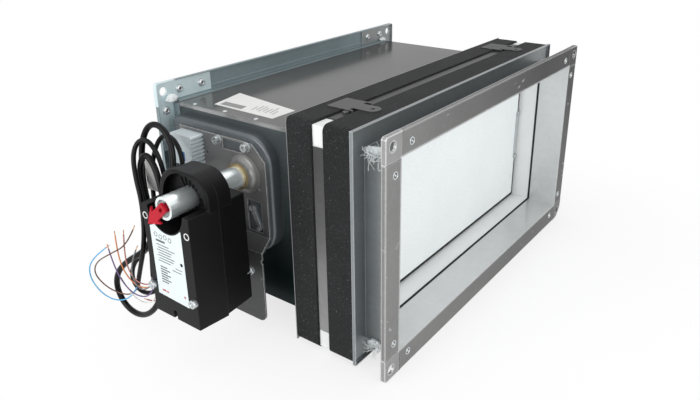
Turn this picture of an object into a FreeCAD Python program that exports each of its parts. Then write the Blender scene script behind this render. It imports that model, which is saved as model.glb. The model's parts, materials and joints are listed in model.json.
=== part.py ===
"""Rectangular fire damper with a spring return actuator, as separate pieces, in millimetres.

The origin is the centre of the front flange's face. X runs along the duct's width, Y along the
air path into the casing and Z up. The blade is closed, as it is after a trip.
"""
import FreeCAD, Part
import math
import os
import Sketcher

SIZES = {
    # duct and casing
    "opening_width": 500.0,
    "opening_height": 250.0,
    "rear_length": 234.8,
    "casing_sheet": 1.0,
    "top_lip": 5.5,
    "seam_flange": 16.0,
    # duct flanges
    "flange_width": 30.0,
    "flange_sheet": 1.2,
    "flange_return": 6.0,
    "flange_leg": 14.0,
    "corner_square": 31.4,
    "corner_sheet": 1.5,
    "corner_rim": 6.5,
    "tongue_length": 96.0,
    "tongue_sheet": 2.0,
    "tongue_play": 0.4,
    "fold_radius": 1.0,
    "corner_radius": 4.0,
    "big_corner_radius": 24.0,
    "bolt_hole_radius": 6.0,
    "bolt_hole_inset": 13.0,
    "rivet_radius": 2.4,
    "rivet_head_radius": 4.6,
    "rivet_head": 2.2,
    "rivet_near": 40.0,
    "rivet_far": 79.0,
    "rivet_line": 14.5,
    # thermal break and wall collar
    "collar_front": 49.8,
    "collar_depth": 90.4,
    "collar_margin": 27.0,
    "collar_lip": 4.5,
    "foam": 3.5,
    "foam_radius": 9.0,
    "front_foam_width": 37.0,
    "rear_foam_width": 35.9,
    "channel_sheet": 1.5,
    "channel_play": 1.0,
    "channel_end_gap": 2.0,
    "rear_frame_leg": 14.0,
    # fixing lugs on top of the collar
    "lug_side": 200.0,
    "lug_sheet": 1.5,
    "lug_wide": 38.0,
    "lug_tongue": 20.0,
    "lug_reach": 32.0,
    "lug_tail": 31.0,
    "lug_hole_radius": 3.2,
    "lug_foot": 13.0,
    # blade
    "blade_middle": 95.0,
    "blade_thickness": 30.0,
    "blade_side_gap": 2.0,
    "blade_edge_gap": 1.6,
    "blade_seal_side": 5.0,
    "blade_seal_edge": 5.0,
    "blade_seal_inset": 0.5,
    "pivot_radius": 6.0,
    "pivot_inner": 30.0,
    "pivot_outer": 16.0,
    "pivot_hole_play": 0.3,
    "running_play": 0.05,
    "bush_wall": 3.0,
    "strap_width": 11.0,
    "strap_length": 90.0,
    "strap_sheet": 1.5,
    "strap_drop": 7.0,
    "strap_inset": 4.9,
    "strap_rivet_head": 2.0,
    "strap_rivet_radius": 4.2,
    "stop_gap": 0.5,
    "stop_sheet": 1.8,
    "stop_drop": 12.0,
    "stop_base": 20.0,
    "stop_end_gap": 10.0,
    # shaft, crank and link
    "shaft_along": 222.0,
    "shaft_rise": 60.0,
    "shaft_radius": 6.0,
    "arm_along": 24.0,
    "arm_rise": 45.0,
    "pin_radius": 4.0,
    "pin_head_radius": 6.0,
    "pin_head": 1.5,
    "link_hole_play": 0.3,
    "arm_wall_gap": 2.5,
    "arm_thickness": 5.0,
    "arm_end_radius": 8.0,
    "hub_radius": 12.0,
    "plate_gap": 1.0,
    "link_thickness": 4.0,
    "link_end_radius": 7.0,
    "bracket_sheet": 3.0,
    "bracket_base": 2.0,
    "bracket_base_width": 32.0,
    "bracket_half_height": 16.0,
    "bracket_end_radius": 8.0,
    "bush_flange": 1.7,
    "bush_flange_radius": 11.5,
    "bush_tail": 4.0,
    # mechanism housing on the left wall
    "housing_front": 178.0,
    "housing_rear_gap": 3.0,
    "housing_top": 112.0,
    "housing_bottom": 48.0,
    "housing_depth": 17.0,
    "housing_wall": 1.2,
    "housing_big_radius": 38.0,
    "housing_small_radius": 10.0,
    "housing_edge_radius": 4.0,
    "plate_sheet": 2.0,
    "plate_front": 186.0,
    "plate_rear": 288.0,
    "plate_tab_low": 50.0,
    "plate_tab_margin": 3.0,
    "plate_hole_inset": 2.5,
    "plate_hole_drop": 28.5,
    "plate_small_hole_inset": 11.0,
    "plate_small_hole_drop": 16.0,
    "plate_top": 102.5,
    "plate_chamfer": 22.0,
    "joggle_height": 22.0,
    "joggle_drop": 15.0,
    "joggle_reach": 16.0,
    "leg_bottom": 141.0,
    "leg_rear": 268.0,
    "leg_radius": 12.0,
    "plate_low_edge": 6.0,
    "window_front": 226.0,
    "window_length": 33.0,
    "window_low": 86.0,
    "window_height": 14.0,
    "catch_window_front": 197.0,
    "catch_window_length": 25.0,
    "catch_window_low": 20.0,
    "catch_window_height": 45.0,
    "catch_along": 214.0,
    "catch_rise": 13.0,
    "catch_pin_radius": 3.0,
    "catch_head_radius": 4.4,
    "catch_head": 1.6,
    "catch_sheet": 2.0,
    "catch_end_radius": 4.6,
    "catch_run": 11.0,
    "catch_fall": 25.0,
    "catch_half_width": 3.0,
    "catch_finger": 5.0,
    "boss_radius": 17.4,
    "boss_flange_radius": 26.0,
    "boss_flange": 1.4,
    "boss_length": 11.0,
    "boss_fillet": 8.2,
    "brass_radius": 16.0,
    "brass_tip": 4.0,
    "brass_tail": 8.0,
    "socket_screw_radius": 5.2,
    "socket_screw_head": 6.0,
    "socket_screw_shank": 3.0,
    "socket_radius": 2.6,
    "socket_depth": 3.0,
    "washer_radius": 6.6,
    "washer": 1.5,
    "screw_one": 266.0,
    "screw_two": 215.0,
    "screw_line": 97.0,
    # clamp sleeve and pointer
    "sleeve_radius": 14.2,
    "sleeve_bore_radius": 10.7,
    "sleeve_bore_depth": 10.0,
    "pointer_sheet": 3.0,
    "pointer_gap": 0.5,
    "pointer_length": 38.0,
    "pointer_hub_radius": 5.5,
    "pointer_slot_radius": 2.2,
    "pointer_slot": 3.0,
    "pointer_neck": 18.0,
    "pointer_half_neck": 6.0,
    "pointer_half_head": 12.0,
    "pointer_angle": -42.0,
    # actuator
    "actuator_half_width": 40.0,
    "actuator_flare": 2.0,
    "actuator_bottom": 87.0,
    "actuator_shoulder": 57.0,
    "actuator_head": 95.0,
    "spacer_length": 24.0,
    "rear_shell_depth": 43.0,
    "front_shell_depth": 43.0,
    "head_front": 15.0,
    "head_rear": 21.0,
    "head_radius": 30.0,
    "shell_edge": 3.0,
    "recess_radius": 37.0,
    "recess_depth": 10.0,
    "recess_drop": 4.5,
    "notch_radius": 31.0,
    "shell_bore_radius": 15.5,
    "seam_step": 0.8,
    "bottom_slot": 6.0,
    "bottom_slot_height": 11.0,
    "bottom_slot_depth": 10.0,
    "body_screw_side": 36.5,
    "body_screw_drop": 50.0,
    "body_screw_play": 0.3,
    "spacer_radius": 8.0,
    "nut_radius": 5.6,
    "nut": 5.0,
    # thermal trip unit, hook and glands
    "trip_gap": 8.0,
    "trip_length": 42.0,
    "trip_low": 56.0,
    "trip_height": 42.0,
    "trip_depth": 20.0,
    "trip_groove": 2.2,
    "trip_groove_pitch": 5.2,
    "trip_groove_depth": 3.0,
    "trip_edge": 2.0,
    "probe_inset": 16.0,
    "probe_rise": 77.0,
    "probe_radius": 4.0,
    "probe_reach": 45.0,
    "probe_cage_radius": 6.5,
    "probe_cage": 16.0,
    "hook_inset": 20.0,
    "hook_width": 20.0,
    "hook_sheet": 1.5,
    "hook_rise": 34.0,
    "hook_foot": 20.0,
    "hook_reach": 64.0,
    "hook_upturn": 38.0,
    "pan_head_radius": 3.6,
    "pan_head": 2.4,
    "gland_radius": 7.0,
    "gland": 6.0,
    "gland_rise": 24.0,
    "signal_gland_step": 30.0,
    "supply_gland_step": 12.0,
    # cables
    "signal_radius": 4.0,
    "supply_radius": 3.1,
    "core_radius": 0.9,
}

doc = FreeCAD.newDocument("fire_damper")
sheet = doc.addObject("Spreadsheet::Sheet", "Sizes")
for row, (name, number) in enumerate(SIZES.items(), start=1):
    sheet.set(f"A{row}", name)
    sheet.set(f"B{row}", str(number))
    sheet.setAlias(f"B{row}", name)
doc.recompute()


class Size:
    """A length with its present value and the expression on the sheet that gives it."""

    def __init__(self, value, text):
        self.value = value
        self.text = text

    def join(self, other, sign, value):
        return Size(value, f"({self.text} {sign} {as_size(other).text})")

    def __add__(self, other):
        return self.join(other, "+", self.value + as_size(other).value)

    def __sub__(self, other):
        return self.join(other, "-", self.value - as_size(other).value)

    def __mul__(self, other):
        return self.join(other, "*", self.value * as_size(other).value)

    def __truediv__(self, other):
        return self.join(other, "/", self.value / as_size(other).value)

    def __radd__(self, other):
        return as_size(other) + self

    def __rsub__(self, other):
        return as_size(other) - self

    def __rmul__(self, other):
        return as_size(other) * self

    def __neg__(self):
        return Size(-self.value, f"(-{self.text})")


def as_size(number):
    """A plain number as a size, and a size as it is."""
    return number if isinstance(number, Size) else Size(float(number), f"({float(number)})")


def size(name):
    """The size in the cell of this name."""
    return Size(float(sheet.get(name)), f"Sizes.{name}")


def root(number):
    return Size(math.sqrt(number.value), f"sqrt({number.text})")


def bind(item, prop, number):
    item.setExpression(prop, as_size(number).text)


# The planes of a body: how many degrees of freedom a sketch on them gives, and which way it faces.
PLANES = {"XY": ("XY_Plane", 1), "XZ": ("XZ_Plane", -1), "YZ": ("YZ_Plane", 1)}


def new_body(name):
    body = doc.addObject("PartDesign::Body", name)
    body.Label = name
    return body


def new_sketch(body, plane, level, outlines=(), circles=()):
    """A sketch on one of the body's planes, moved to a level along that plane's axis."""
    role, facing = PLANES[plane]
    sketch = body.newObject("Sketcher::SketchObject", body.Name + "_sketch")
    origin_plane = [part for part in body.Origin.OriginFeatures if part.Role == role][0]
    sketch.AttachmentSupport = (origin_plane, "")
    sketch.MapMode = "FlatFace"
    bind(sketch, "AttachmentOffset.Base.z", as_size(level) * facing)
    for outline in outlines:
        draw_outline(sketch, [(as_size(u), as_size(v)) for u, v in outline])
    for u, v, radius in circles:
        draw_circle(sketch, as_size(u), as_size(v), as_size(radius))
    return sketch


def draw_outline(sketch, corners):
    """A closed outline of straight lines, each corner held by its distances from the origin."""
    points = [FreeCAD.Vector(u.value, v.value, 0) for u, v in corners]
    first = len(sketch.Geometry)
    count = len(points)
    for place in range(count):
        sketch.addGeometry(Part.LineSegment(points[place], points[(place + 1) % count]), False)
    for place in range(count):
        here, after = first + place, first + (place + 1) % count
        sketch.addConstraint(Sketcher.Constraint("Coincident", here, 2, after, 1))
    for place, (u, v) in enumerate(corners):
        for kind, number in (("DistanceX", u), ("DistanceY", v)):
            rule = Sketcher.Constraint(kind, -1, 1, first + place, 1, number.value)
            where = sketch.addConstraint(rule)
            sketch.setExpression(f"Constraints[{where}]", number.text)


def draw_circle(sketch, u, v, radius):
    middle = FreeCAD.Vector(u.value, v.value, 0)
    where = sketch.addGeometry(Part.Circle(middle, FreeCAD.Vector(0, 0, 1), radius.value), False)
    for kind, number in (("DistanceX", u), ("DistanceY", v)):
        rule = Sketcher.Constraint(kind, -1, 1, where, 3, number.value)
        place = sketch.addConstraint(rule)
        sketch.setExpression(f"Constraints[{place}]", number.text)
    place = sketch.addConstraint(Sketcher.Constraint("Radius", where, radius.value))
    sketch.setExpression(f"Constraints[{place}]", radius.text)


def pad(body, plane, low, high, outlines=(), circles=()):
    """Material between two levels of a plane's axis."""
    sketch = new_sketch(body, plane, low, outlines, circles)
    feature = body.newObject("PartDesign::Pad", body.Name + "_pad")
    feature.Profile = sketch
    bind(feature, "Length", as_size(high) - low)
    feature.Reversed = PLANES[plane][1] < 0
    return feature


def pocket(body, plane, low, high, outlines=(), circles=()):
    """A cut between two levels of a plane's axis."""
    sketch = new_sketch(body, plane, low, outlines, circles)
    feature = body.newObject("PartDesign::Pocket", body.Name + "_pocket")
    feature.Profile = sketch
    bind(feature, "Length", as_size(high) - low)
    feature.Reversed = PLANES[plane][1] > 0
    return feature


def round_edges(body, radius, wanted):
    """Fillet the edges of the body so far for which wanted(edge) is true."""
    doc.recompute()
    base = body.Tip
    names = [f"Edge{place}" for place, edge in enumerate(base.Shape.Edges, start=1) if wanted(edge)]
    feature = body.newObject("PartDesign::Fillet", body.Name + "_fillet")
    feature.Base = (base, names)
    bind(feature, "Radius", radius)
    return feature


def along(edge, axis):
    """True for a straight edge along this axis."""
    if edge.Curve.TypeId != "Part::GeomLine":
        return False
    run = edge.Vertexes[-1].Point - edge.Vertexes[0].Point
    return run.Length > 0 and abs(getattr(run, axis)) > 0.999 * run.Length


def near(edge, **spots):
    """True for an edge whose middle is at these coordinates."""
    middle = edge.CenterOfMass
    return all(abs(getattr(middle, axis) - as_size(spot).value) < 0.05 for axis, spot in spots.items())


def rectangle(u_low, u_high, v_low, v_high):
    return [(u_low, v_low), (u_high, v_low), (u_high, v_high), (u_low, v_high)]


def centred(half_u, half_v):
    return rectangle(-half_u, half_u, -half_v, half_v)


def block(name, x_low, x_high, y_low, y_high, z_low, z_high):
    item = doc.addObject("Part::Box", name)
    bind(item, "Length", as_size(x_high) - x_low)
    bind(item, "Width", as_size(y_high) - y_low)
    bind(item, "Height", as_size(z_high) - z_low)
    for axis, low in zip("xyz", (x_low, y_low, z_low)):
        bind(item, f"Placement.Base.{axis}", low)
    return item


TURNS = {
    "X": FreeCAD.Rotation(FreeCAD.Vector(0, 1, 0), 90),
    "Y": FreeCAD.Rotation(FreeCAD.Vector(1, 0, 0), -90),
    "Z": FreeCAD.Rotation(),
}


def rod(name, axis, radius, low, high, across, up):
    """A round bar along an axis between two levels; across and up place it on the other two axes."""
    item = doc.addObject("Part::Cylinder", name)
    bind(item, "Radius", radius)
    bind(item, "Height", as_size(high) - low)
    item.Placement = FreeCAD.Placement(FreeCAD.Vector(), TURNS[axis])
    base = {"X": (low, across, up), "Y": (across, low, up), "Z": (across, up, low)}[axis]
    for letter, number in zip("xyz", base):
        bind(item, f"Placement.Base.{letter}", number)
    return item


def cut(name, base, *tools):
    """The base without the tools."""
    item = doc.addObject("Part::Cut", name)
    item.Base = base
    item.Tool = tools[0] if len(tools) == 1 else join(name + "_tools", *tools)
    return item


def join(name, *parts):
    item = doc.addObject("Part::MultiFuse", name)
    item.Shapes = list(parts)
    return item


def mirror(name, source, normal, along_y=0):
    """The source mirrored across a plane through the middle, or across a level of Y."""
    item = doc.addObject("Part::Mirroring", name)
    item.Source = source
    item.Normal = FreeCAD.Vector(*normal)
    bind(item, "Base.y", along_y)
    return item


def group(name, *parts):
    """Equal or paired pieces that stay separate solids in one node."""
    item = doc.addObject("Part::Compound", name)
    item.Links = list(parts)
    return item


nodes = []


def keep(item, label):
    """This object is a sub-part, and its label names the file."""
    item.Label = label
    nodes.append(item)
    return item


# Places that many pieces share, worked out from the sheet.
half_width = size("opening_width") / 2
half_height = size("opening_height") / 2
sheet_metal = size("casing_sheet")
wall_x = half_width + sheet_metal
wall_z = half_height + sheet_metal
outer_x = half_width + size("flange_width")
outer_z = half_height + size("flange_width")
collar_front = size("collar_front")
collar_rear = collar_front + size("collar_depth")
length = collar_rear + size("rear_length")
collar_x = half_width + size("collar_margin")
collar_z = half_height + size("collar_margin")
board_x = collar_x - size("foam")
board_z = collar_z - size("foam")
rear_start = collar_rear + size("flange_sheet")
middle = size("blade_middle")
half_blade = size("blade_thickness") / 2
blade_front = middle - half_blade
blade_rear = middle + half_blade
shaft_y = size("shaft_along")
shaft_z = size("shaft_rise")
play = size("running_play")
housing_x = wall_x + size("housing_depth")
leg_x = housing_x + size("plate_sheet") + size("joggle_reach")
actuator_back = leg_x + size("spacer_length")
actuator_seam = actuator_back + size("rear_shell_depth")
actuator_face = actuator_seam + size("front_shell_depth")
shaft_end = actuator_face - size("sleeve_bore_depth")
trip_front = size("plate_rear") + size("trip_gap")
trip_rear = trip_front + size("trip_length")
probe_y = trip_rear - size("probe_inset")
hook_front = trip_rear - size("hook_inset")


def front_casing():
    """The front duct section, folded out at its rear end into the collar's front face."""
    body = new_body("front_casing")
    pad(body, "XZ", 0, collar_front, [centred(wall_x, wall_z), centred(half_width, half_height)])
    pad(body, "XZ", collar_front - sheet_metal, collar_front,
        [centred(collar_x, collar_z), centred(half_width, half_height)])
    pad(body, "XZ", collar_front - size("collar_lip"), collar_front,
        [centred(collar_x, collar_z), centred(collar_x - sheet_metal, collar_z - sheet_metal)])
    return keep(body, "front_casing")


def rear_casing():
    """The rear duct section: a channel with seam flanges, closed by a top sheet with side lips."""
    body = new_body("casing_channel")
    flange = half_width - size("seam_flange")
    pad(body, "XZ", rear_start, length, [[
        (-wall_x, half_height), (-wall_x, -wall_z), (wall_x, -wall_z), (wall_x, half_height),
        (flange, half_height), (flange, half_height - sheet_metal),
        (half_width, half_height - sheet_metal), (half_width, -half_height),
        (-half_width, -half_height), (-half_width, half_height - sheet_metal),
        (-flange, half_height - sheet_metal), (-flange, half_height)]])
    shaft_hole = size("shaft_radius") + size("bush_wall")
    pocket(body, "YZ", -wall_x - 1, -half_width + 1, circles=[
        (shaft_y, shaft_z, shaft_hole),
        (probe_y, size("probe_rise"), size("probe_radius") + size("pivot_hole_play"))])
    keep(body, "casing_channel")
    top = new_body("casing_top_sheet")
    pad(top, "XZ", rear_start, length, [rectangle(-wall_x, wall_x, half_height, wall_z)])
    lip_low = wall_z - size("top_lip")
    lip_x = wall_x + sheet_metal
    pad(top, "XZ", rear_start + size("rear_frame_leg") + 1, length - size("flange_leg") - 1,
        [rectangle(wall_x, lip_x, lip_low, wall_z), rectangle(-lip_x, -wall_x, lip_low, wall_z)])
    return keep(top, "casing_top_sheet")


def flange_bars(end):
    """The four edge profiles of one duct flange. The rear ones mirror the front ones."""
    metal = size("flange_sheet")
    back = size("flange_return")
    leg = size("flange_leg")
    bar_x = outer_x - size("corner_square")
    bar_z = outer_z - size("corner_square")
    line = size("rivet_line")
    holes = size("rivet_radius")
    top = new_body(end + "_top_bar")
    pad(top, "YZ", -bar_x, bar_x, [[
        (0, wall_z), (leg, wall_z), (leg, wall_z + metal), (metal, wall_z + metal),
        (metal, outer_z - metal), (back, outer_z - metal), (back, outer_z), (0, outer_z)]])
    pocket(top, "XZ", -1, metal + 1, circles=[
        (side * (outer_x - size(place)), outer_z - line, holes)
        for side in (-1, 1) for place in ("rivet_near", "rivet_far")])
    round_edges(top, size("fold_radius"), lambda edge: along(edge, "x") and near(edge, y=0, z=outer_z))
    side_bar = new_body(end + "_side_bar")
    pad(side_bar, "XY", -bar_z, bar_z, [[
        (-wall_x, 0), (-outer_x, 0), (-outer_x, back), (-outer_x + metal, back),
        (-outer_x + metal, metal), (-wall_x - metal, metal), (-wall_x - metal, leg), (-wall_x, leg)]])
    pocket(side_bar, "XZ", -1, metal + 1, circles=[
        (-outer_x + line, up * (outer_z - size(place)), holes)
        for up in (-1, 1) for place in ("rivet_near", "rivet_far")])
    round_edges(side_bar, size("fold_radius"),
                lambda edge: along(edge, "z") and near(edge, x=-outer_x, y=0))
    bars = [top, mirror(end + "_bottom_bar", top, (0, 0, 1)),
            side_bar, mirror(end + "_right_bar", side_bar, (1, 0, 0))]
    if end == "rear":
        bars = [mirror(f"rear_bar_{place}", bar, (0, 1, 0), length / 2)
                for place, bar in enumerate(bars, start=1)]
    return keep(group(end + "_bars_group", *bars), end + "_flange_bars")


def corner_piece(name, radius):
    """The top left corner piece: a square face with a rim, and a tongue behind each bar."""
    metal = size("corner_sheet")
    square = size("corner_square")
    edge_x = -outer_x + square
    edge_z = outer_z - square
    inner_play = size("tongue_play")
    outer_tongue = size("flange_sheet") + inner_play
    body = new_body(name)
    pad(body, "XZ", 0, metal, [[
        (-outer_x, edge_z), (-outer_x, outer_z), (edge_x, outer_z), (edge_x, wall_z),
        (-wall_x, wall_z), (-wall_x, edge_z)]])
    pad(body, "XZ", 0, size("corner_rim"), [[
        (-outer_x, edge_z), (-outer_x, outer_z), (edge_x, outer_z), (edge_x, outer_z - metal),
        (-outer_x + metal, outer_z - metal), (-outer_x + metal, edge_z)]])
    round_edges(body, radius, lambda edge: along(edge, "y") and near(edge, x=-outer_x, z=outer_z))
    round_edges(body, radius - metal, lambda edge: along(edge, "y")
                and near(edge, x=-outer_x + metal, z=outer_z - metal))
    tongue = size("tongue_length")
    tongue_x = wall_x + size("flange_sheet") + inner_play
    tongue_z = wall_z + size("flange_sheet") + inner_play
    low_x = -outer_x + outer_tongue
    high_z = outer_z - outer_tongue
    pad(body, "XZ", size("flange_sheet"), size("flange_sheet") + size("tongue_sheet"), [[
        (low_x, outer_z - tongue), (low_x, high_z - radius), (low_x + radius, high_z),
        (-outer_x + tongue, high_z), (-outer_x + tongue, tongue_z), (-tongue_x, tongue_z),
        (-tongue_x, outer_z - tongue)]])
    inset = size("bolt_hole_inset")
    line = size("rivet_line")
    spots = [(-outer_x + size(place), outer_z - line) for place in ("rivet_near", "rivet_far")]
    spots += [(-outer_x + line, outer_z - size(place)) for place in ("rivet_near", "rivet_far")]
    pocket(body, "XZ", -1, size("corner_rim") + 1, circles=[
        (-outer_x + inset, outer_z - inset, size("bolt_hole_radius"))])
    pocket(body, "XZ", -1, size("corner_rim") + 1, circles=[
        (across, up, size("rivet_radius")) for across, up in spots])
    return body


def corner_pieces():
    """Four corner pieces in each flange. The front one at the lower right has a big radius."""
    small = corner_piece("corner_small", size("corner_radius"))
    large = corner_piece("corner_large", size("big_corner_radius"))
    top_right = mirror("corner_top_right", small, (1, 0, 0))
    bottom_left = mirror("corner_bottom_left", small, (0, 0, 1))
    bottom_right = mirror("corner_bottom_right", top_right, (0, 0, 1))
    large_right = mirror("corner_large_right", large, (1, 0, 0))
    front_right = mirror("corner_front_right", large_right, (0, 0, 1))
    keep(group("front_corner_group", small, top_right, bottom_left, front_right),
         "front_corner_pieces")
    rear = [mirror(f"rear_corner_{place}", corner, (0, 1, 0), length / 2)
            for place, corner in enumerate((small, top_right, bottom_left, bottom_right), start=1)]
    keep(group("rear_corner_group", *rear), "rear_corner_pieces")


def corner_rivets():
    """Two rivets through each tongue and bar, their heads behind the flange."""
    line = size("rivet_line")
    stack = size("flange_sheet") + size("tongue_sheet")
    rivets = []
    for place in ("rivet_near", "rivet_far"):
        for spot, (across, up) in enumerate(((-outer_x + size(place), outer_z - line),
                                             (-outer_x + line, outer_z - size(place)))):
            name = f"{place}_{spot}"
            shank = rod(name + "_shank", "Y", size("rivet_radius"), 0, stack, across, up)
            head = doc.addObject("Part::Cone", name + "_head")
            bind(head, "Radius1", size("rivet_head_radius"))
            bind(head, "Radius2", size("rivet_radius"))
            bind(head, "Height", size("rivet_head"))
            head.Placement = FreeCAD.Placement(FreeCAD.Vector(), TURNS["Y"])
            for axis, number in zip("xyz", (across, stack, up)):
                bind(head, f"Placement.Base.{axis}", number)
            rivets.append(join(name + "_rivet", shank, head))
    corner = group("rivets_top_left", *rivets)
    right = mirror("rivets_top_right", corner, (1, 0, 0))
    top = group("rivets_top", corner, right)
    bottom = mirror("rivets_bottom", top, (0, 0, 1))
    front = group("rivets_front", top, bottom)
    rear = mirror("rivets_rear", front, (0, 1, 0), length / 2)
    keep(group("rivets_all", front, rear), "corner_rivets")


def thermal_break():
    """Four insulating boards that part the front casing from the rear one."""
    top = block("board_top", -board_x, board_x, collar_front, collar_rear, half_height, board_z)
    keep(group("boards_level", top, mirror("board_bottom", top, (0, 0, 1))), "boards_top_bottom")
    side = block("board_side", half_width, board_x, collar_front, collar_rear, -half_height, half_height)
    bore = rod("board_bore", "X", size("pivot_radius") + size("bush_wall"),
               half_width - 1, bush_end(), middle, 0)
    right = cut("board_right", side, bore)
    keep(group("boards_upright", right, mirror("board_left", right, (1, 0, 0))), "boards_left_right")


def bush_end():
    """How far from the middle the blade's bushes reach into the side boards."""
    return half_width + size("pivot_outer") + 1


def collar():
    """Foam strips round the boards, steel strips between them and the rear frame."""
    rings = (("front_seal_strip", collar_front, collar_front + size("front_foam_width")),
             ("rear_seal_strip", collar_rear - size("rear_foam_width"), collar_rear))
    for name, low, high in rings:
        body = new_body(name)
        pad(body, "XZ", low, high, [centred(collar_x, collar_z), centred(board_x, board_z)])
        round_edges(body, size("foam_radius"), lambda edge: along(edge, "y")
                    and abs(abs(edge.CenterOfMass.x) - collar_x.value) < 0.05)
        keep(body, name)
    gap = size("channel_play")
    low = collar_front + size("front_foam_width") + gap
    high = collar_rear - size("rear_foam_width") - gap
    metal = size("channel_sheet")
    end_x = half_width - size("channel_end_gap")
    end_z = half_height - size("channel_end_gap")
    top = block("strip_top", -end_x, end_x, low, high, board_z, board_z + metal)
    side = block("strip_side", board_x, board_x + metal, low, high, -end_z, end_z)
    keep(group("strips", top, mirror("strip_bottom", top, (0, 0, 1)),
               side, mirror("strip_left", side, (1, 0, 0))), "channel_strips")
    body = new_body("collar_rear_frame")
    pad(body, "XZ", collar_rear, rear_start,
        [centred(collar_x, collar_z), centred(half_width, half_height)])
    leg = size("flange_sheet")
    pad(body, "XZ", collar_rear, rear_start + size("rear_frame_leg"),
        [centred(wall_x + leg, wall_z + leg), centred(wall_x, wall_z)])
    keep(body, "collar_rear_frame")


def fixing_lugs():
    """Two bendable lugs that lie over the collar and hold it to the wall when bent up."""
    metal = size("lug_sheet")
    strip_top = board_z + size("channel_sheet")
    channel = (collar_front + size("front_foam_width") + collar_rear - size("rear_foam_width")) / 2
    centre = size("lug_side")
    half_wide = size("lug_wide") / 2
    half_tongue = size("lug_tongue") / 2
    nose = channel - size("lug_reach") + half_tongue
    body = new_body("lug_right")
    pad(body, "XY", collar_z, collar_z + metal, [[
        (centre - half_wide, channel), (centre + half_wide, channel),
        (centre + half_wide, channel + size("lug_tail")),
        (centre - half_wide, channel + size("lug_tail"))]])
    pad(body, "XY", collar_z, collar_z + metal,
        [rectangle(centre - half_tongue, centre + half_tongue, nose, channel + 1)])
    pad(body, "XY", collar_z, collar_z + metal, circles=[(centre, nose, half_tongue)])
    foot = size("lug_foot") / 2
    pad(body, "XY", strip_top, collar_z + metal,
        [rectangle(centre - half_wide, centre - half_wide + metal, channel - foot, channel + foot)])
    pad(body, "XY", strip_top, collar_z + metal,
        [rectangle(centre + half_wide - metal, centre + half_wide, channel - foot, channel + foot)])
    pocket(body, "XY", collar_z - 1, collar_z + metal + 1,
           circles=[(centre, nose, size("lug_hole_radius"))])
    keep(group("lugs", body, mirror("lug_left", body, (1, 0, 0))), "fixing_lugs")


def blade():
    """The insulating blade with its edge seal, straps, pins and stub axles."""
    seal_x = half_width - size("blade_side_gap")
    seal_z = half_height - size("blade_edge_gap")
    blade_x = seal_x - size("blade_seal_side")
    blade_z = seal_z - size("blade_seal_edge")
    pin = size("pivot_radius")
    inner = blade_x - size("pivot_inner")
    outer = half_width + size("pivot_outer")
    core = block("blade_slab", -blade_x, blade_x, blade_front, blade_rear, -blade_z, blade_z)
    keep(cut("blade_core", core,
             rod("blade_bore_right", "X", pin, inner, blade_x + 1, middle, 0),
             rod("blade_bore_left", "X", pin, -blade_x - 1, -inner, middle, 0)), "blade_board")
    inset = size("blade_seal_inset")
    body = new_body("blade_seal")
    pad(body, "XZ", blade_front + inset, blade_rear - inset,
        [centred(seal_x, seal_z), centred(blade_x, blade_z)])
    pocket(body, "YZ", -seal_x - 1, seal_x + 1,
           circles=[(middle, 0, pin + size("pivot_hole_play"))])
    keep(body, "blade_seal")
    axle = rod("axle_right", "X", pin, inner, outer, middle, 0)
    keep(group("axles", axle, mirror("axle_left", axle, (1, 0, 0))), "pivot_pins")
    bush = cut("bush_right", rod("bush_outer", "X", pin + size("bush_wall"), half_width, bush_end(),
                                 middle, 0),
               rod("bush_inner", "X", pin + play, half_width - 1, bush_end() + 1, middle, 0))
    keep(group("bushes", bush, mirror("bush_left", bush, (1, 0, 0))), "pivot_bushes")
    blade_straps(blade_x)
    stop = new_body("blade_stop")
    stop_end = half_width - size("stop_end_gap")
    stop_front = blade_rear + size("stop_gap")
    metal = size("stop_sheet")
    pad(stop, "YZ", -stop_end, stop_end, [[
        (stop_front, half_height - size("stop_drop")), (stop_front + metal, half_height - size("stop_drop")),
        (stop_front + metal, half_height - metal), (stop_front + size("stop_base"), half_height - metal),
        (stop_front + size("stop_base"), half_height), (stop_front, half_height)]])
    keep(stop, "blade_stop")


def blade_straps(blade_x):
    """A riveted steel strap on the front of the blade at each end of its axle."""
    half = size("strap_width") / 2
    centre = blade_x - size("strap_inset") + half
    low = -size("strap_drop") - size("strap_length") / 2 + half
    high = -size("strap_drop") + size("strap_length") / 2 - half
    face = blade_front - size("strap_sheet")
    body = new_body("strap_right")
    pad(body, "XZ", face, blade_front, [rectangle(centre - half, centre + half, low, high)])
    pad(body, "XZ", face, blade_front, circles=[(centre, low, half)])
    pad(body, "XZ", face, blade_front, circles=[(centre, high, half)])
    keep(group("straps", body, mirror("strap_left", body, (1, 0, 0))), "pivot_straps")
    rivets = [rod(f"strap_rivet_{place}", "Y", size("strap_rivet_radius"),
                  face - size("strap_rivet_head"), face, side * centre, up)
              for place, (side, up) in enumerate([(1, low), (1, high), (-1, low), (-1, high)])]
    keep(group("strap_rivet_group", *rivets), "strap_rivets")


def arm(name, start, end, half, x_low, x_high):
    """A flat bar between two axes, in a plane across X, with round ends."""
    run, rise = end[0] - start[0], end[1] - start[1]
    span = root(run * run + rise * rise)
    side_y, side_z = -rise * half / span, run * half / span
    body = new_body(name)
    pad(body, "YZ", x_low, x_high, [[
        (start[0] - side_y, start[1] - side_z), (end[0] - side_y, end[1] - side_z),
        (end[0] + side_y, end[1] + side_z), (start[0] + side_y, start[1] + side_z)]])
    for spot in (start, end):
        pad(body, "YZ", x_low, x_high, circles=[(spot[0], spot[1], half)])
    return body


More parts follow.
